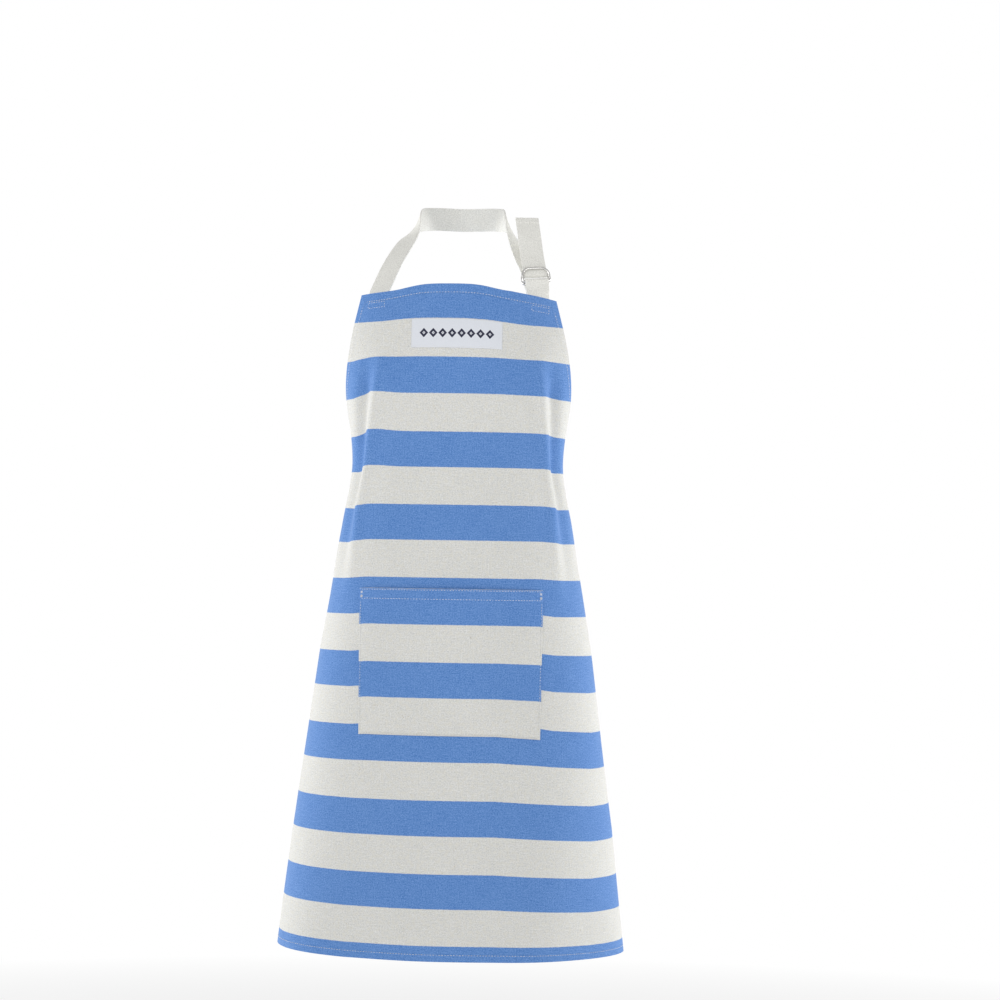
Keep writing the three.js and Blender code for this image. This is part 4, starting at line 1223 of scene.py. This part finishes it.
rightKnot = inBow(
    (-22, 0.6, 0, 0, 1, 0, 24),
    (-12, 0.4, 0, 0, 1, 0, 18),
    (0, 0.2, 0, 0, 1, 0, 17),
    (12, 0.8, 0, 0, 1, 0, 18),
    (22, 2.5, -1, 0, 1, 0, 24),
    (38, 5, -3, 0, 1, 0, 31),
    (62, 6, -8, -0.1, 1, 0, 32),
    (78, 9, -12, -0.6, 0.7, 0, 32),
    (84, 15, -14, -1, 0, 0, 32),
    (78, 21, -13, -0.6, -0.8, 0, 32),
    (62, 22.5, -9, 0.1, -1, 0, 32),
    (38, 15, -3.5, 0.3, -1, 0, 30),
    (22, 8, -1, 0.3, -1, 0, 23),
    (12, 4.6, 0, 0.1, -1, 0, 18),
    (0, 3.0, -1, 0, -1, 0, 17),
    (-11, 3.4, -4, 0, -1, 0, 17),
    (-19, 4.4, -11, 0, -1, 0, 19),
    (-25, 5.6, -24, -0.1, -1, 0, 26),
    (-29, 7.4, -42, -0.1, -1, -0.1, 32),
    (-34, 12, -90, 0.06, -1, -0.15, 32),
    (-42, 23, -160, -0.1, -1, -0.14, 32),
    (-49, 32, -235, -0.08, -1, -0.08, 32),
    (-53, 37, -300, 0.04, -1, -0.04, 32),
)


def makeTies(material):
    leftRun = runToKnot(1, intoKnot)
    run, runLength = tapeFromRows("left_tie_tape", leftRun, material, hemmed=False)
    loopRows = gatheredRows(through(leftLoop, 90))
    loop, loopLength = tapeFromRows("loop", loopRows, material, hemmed=False)
    tailStations = through(leftTail, 110)
    tail, tailLength = tapeFromRows("tail", gatheredRows(tailStations), material)
    left = joinPieces(run, loop, tail, makeKnot(material))
    leftLength = runLength + loopLength + tailLength + knotLength
    rightStations = through(rightKnot, 260)
    rightRows = np.concatenate([runToKnot(-1, rightKnot[:2]), gatheredRows(rightStations)[13:]])
    right, rightLength = tapeFromRows("right_tie_tape", rightRows, material)
    for tie, length, node in ((left, leftLength, "left_waist_tie"),
                              (right, rightLength, "right_waist_tie")):
        handOver(tie, material, "apron", node)
    return tailStations, rightStations


stitchCut = {
    "length": 2.6,
    "gap": 1.3,
    "radius": 0.27,
    "uneven": 0.34,      # some are drawn this much deeper into the cloth
    "bend": 0.9,         # it turns into the cloth this far from its middle
    "sink": 0.30,        # and its ends lie this deep
    "over": 0.12,        # its middle above the cloth
    "overLabel": 0.08,
    "tackMore": 0.15,    # a bar tack stands higher by this
}


def makeStitchShape():  # one stitch along +X, its ends sinking into the cloth
    choose()
    bpy.ops.mesh.primitive_cylinder_add(
        vertices=6, radius=stitchCut["radius"] * mm, depth=stitchCut["length"] * mm,
        rotation=(0, math.pi / 2, 0))
    bpy.ops.object.transform_apply(rotation=True)
    shape = bpy.context.object
    bpy.ops.object.mode_set(mode="EDIT")
    for x in (stitchCut["bend"] * mm, -stitchCut["bend"] * mm):
        bpy.ops.mesh.select_all(action="SELECT")
        bpy.ops.mesh.bisect(plane_co=(x, 0, 0), plane_no=(1, 0, 0))
    bpy.ops.object.mode_set(mode="OBJECT")
    for vertex in shape.data.vertices:
        if abs(vertex.co.x) > 1.2 * mm:
            vertex.co.y *= 0.55
            vertex.co.z = vertex.co.z * 0.55 - stitchCut["sink"] * mm
    points = np.array([vertex.co[:] for vertex in shape.data.vertices])
    faces = [tuple(face.vertices) for face in shape.data.polygons]
    bpy.data.objects.remove(shape)
    return points, faces


stitchShape = makeStitchShape()


# Copies of the stitch along a line of points, each set square to the cloth
def stitchLine(at, out):
    along = lengthAlong(at)
    pitch = stitchCut["length"] + stitchCut["gap"]
    count = max(int(along[-1] / pitch), 1)
    where = (np.arange(count) + 0.5) * along[-1] / count
    ahead = where + 0.5
    middle, further, facing = (
        np.stack([np.interp(w, along, values[:, k]) for k in range(3)], 1)
        for w, values in ((where, at), (ahead, at), (where, out)))
    forward = unit(further - middle + 1e-9)
    facing = unit(facing)
    sideways = unit(np.cross(facing, forward))
    facing = np.cross(forward, sideways)
    sink = stitchCut["uneven"] * np.abs(np.sin(where * 0.83) + np.sin(where * 0.31 + 1)) / 2
    middle = middle - facing * sink[:, None]
    turn = np.stack([forward, sideways, facing], 2)
    shape = stitchShape[0] * (along[-1] / count / pitch, 1, 1)
    return np.einsum("nij,kj->nki", turn, shape) + (middle * mm)[:, None]


def makeStitches(name, lines, material, node):
    points, faces = stitchShape
    placed = np.concatenate([stitchLine(at, out) for at, out in lines])
    mesh = bpy.data.meshes.new(name)
    allFaces = []
    for k in range(len(placed)):
        allFaces += [tuple(index + k * len(points) for index in face) for face in faces]
    mesh.from_pydata(placed.reshape(-1, 3).tolist(), [], allFaces)
    mesh.update()
    piece = bpy.data.objects.new(name, mesh)
    bpy.context.scene.collection.objects.link(piece)
    smoothShading(piece, 60)
    handOver(piece, material, "apron", node)


def straight(points, step=2.0):  # points every few millimetres along straight sides
    points = np.asarray(points, float)
    made = [points[:1]]
    for a, b in zip(points[:-1], points[1:]):
        count = max(int(np.hypot(*(b - a)) / step), 1)
        made.append(a + (b - a) * (np.arange(1, count + 1) / count)[:, None])
    return np.vstack(made)


def rectangle(left, right, top, foot):
    return [(left, top), (left, foot), (right, foot), (right, top), (left, top)]


def sewnOn(surface, path, lift):
    return surface(path[:, 0], path[:, 1], np.full(len(path), lift))


def makeAllStitches(material, tapeEnds):
    over = panelCut["thick"] / 2 + stitchCut["over"]
    overPocket = pocketCut["thick"] / 2 + stitchCut["over"]
    overTack = overPocket + stitchCut["tackMore"]
    overLabel = labelCut["thick"] / 2 + stitchCut["overLabel"]

    def add(node, lines):
        makeStitches(node.replace("_thread", "") + "_stitches", lines, material, node)

    half = bibHalf - panelCut["sideHem"]
    u = np.arange(-half, half, 2.0)
    bib = np.stack([u, panelCut["bibHem"] + crownAt(u)], 1)
    add("bib_hem_thread", [sewnOn(onCloth, bib, over)])

    edge, along = armholeAt(np.linspace(0.045, 1, 160))
    inner = np.stack([edge[:, 0] - along[:, 1] * panelCut["armholeHem"],
                      edge[:, 1] + along[:, 0] * panelCut["armholeHem"]], 1)
    inner = inner[inner[:, 0] < sideHalf - panelCut["sideHem"]]
    line, (above, below) = sideHalf - panelCut["sideHem"], panelCut["sideSewn"]
    sideLine = straight([(line, panelCut["armholeDrop"] + above),
                         (line, panelCut["length"] - below)])
    for side, name in ((1, "left"), (-1, "right")):
        add(name + "_armhole_thread", [sewnOn(onCloth, inner * (side, 1), over)])
        add(name + "_side_thread", [sewnOn(onCloth, sideLine * (side, 1), over)])
        near = sideHalf - tapeCut["tieUnderlap"] + tapeCut["anchorInset"]
        far = sideHalf - 1.5 * panelCut["sideHem"]
        tall = tapeCut["width"] / 2 - tapeCut["anchorInset"]
        box = rectangle(near, far, tieV - tall, tieV + tall)
        lines = [straight(points) * (side, 1) for points in (box, box[0:3:2], box[1:4:2])]
        add(name + "_tie_anchor_thread", [sewnOn(onCloth, line, over) for line in lines])

    level = panelCut["length"] - panelCut["bottomHem"]
    half = sideHalf - panelCut["bottomSewn"]
    bottom = straight([(-half, level), (half, level)])
    add("bottom_hem_thread", [sewnOn(onCloth, bottom, over)])

    for side, node in ((1, "tab_anchor_thread"), (-1, "strap_anchor_thread")):
        middle = side * (strapU + tapeCut["lean"] * tapeCut["anchorDrop"][0])
        wide = tapeCut["width"] / 2 - tapeCut["anchorInset"]
        box = straight(rectangle(middle - wide, middle + wide, *tapeCut["anchorDrop"]))
        box[:, 1] += crownAt(box[:, 0])
        add(node, [sewnOn(onCloth, box, over)])

    half = pocketCut["width"] / 2 - pocketCut["edgeInset"]
    top, foot = pocketCut["drop"], pocketCut["drop"] + pocketCut["height"] - pocketCut["edgeInset"]
    for name, inset in zip(("upper", "lower"), pocketCut["hemRows"]):
        end = half - pocketCut["hemRowInset"]
        row = straight([(-end, top + inset), (end, top + inset)])
        add("pocket_hem_" + name + "_thread", [sewnOn(onPocket, row, overPocket)])
    begin = top + pocketCut["edgeFrom"]
    threeSides = straight([(-half, begin), (-half, foot), (half, foot), (half, begin)])
    add("pocket_edge_thread", [sewnOn(onPocket, threeSides, overPocket)])
    tackTop, tackFoot = pocketCut["tackSpan"]
    for side, name in ((1, "left"), (-1, "right")):
        rows = [straight([(side * (half - x), top + tackTop), (side * (half - x), top + tackFoot)])
                for x in pocketCut["tackRows"]]
        add("pocket_" + name + "_tack", [sewnOn(onPocket, row, overTack) for row in rows])

    half = labelCut["width"] / 2 - labelCut["inset"]
    box = straight(rectangle(-half, half, labelCut["drop"] + labelCut["inset"],
                             labelCut["drop"] + labelCut["height"] - labelCut["inset"]))
    add("label_thread", [sewnOn(onLabel, box, overLabel)])

    for node, stations in tapeEnds.items():
        add(node, [acrossEnd(stations)])


def acrossEnd(stations):  # a row of stitches across the end of a tape, on its outer face
    end, before = stations[-1], stations[-2]
    along = unit(end[:3] - before[:3])
    across = unit(np.cross(end[3:6], along))
    face = np.cross(along, across)
    middle = end[:3] - along * (tapeCut["endHem"] - 1) + face * (tapeCut["hemThick"] / 2 + 0.1)
    half = tapeCut["width"] / 2 - 2
    line = middle + across * np.linspace(-half, half, 15)[:, None]
    return line, np.broadcast_to(face, line.shape)


makeCamera()
makeStage()
makeLamps()
print("stage and camera made")

canvas = stripedCanvas("stripedCanvas", canvasLook["firstBlue"], canvasLook["blueWidth"])
pocketCanvas = stripedCanvas("pocketCanvas", pocketCut["firstBlue"] * mm,
                             pocketCut["blueWidth"] * mm)
tapeCotton = creamTape()
thread = cottonThread()
nickel = polishedNickel()
labelWeave = wovenLabel((labelCut["drop"] + labelCut["height"] / 2) * mm)
print("materials made")

makePanel(canvas)
makePocket(pocketCanvas)
makeLabel(labelWeave)
print("cloth made")
strapStations = makeStrap(tapeCotton)
makeTab(tapeCotton)
makeRing("inner_ring_wire", innerBar, 0, nickel, "inner_ring", "inner_d_ring")
makeRing("outer_ring_wire", outerBar, ringCut["tilt"], nickel, "outer_ring", "outer_d_ring")
print("strap and rings made")
leftTailStations, rightTailStations = makeTies(tapeCotton)
print("ties made")
makeAllStitches(thread, {
    "strap_end_thread": strapStations,
    "left_tie_end_thread": leftTailStations,
    "right_tie_end_thread": rightTailStations,
})
print("stitches made")
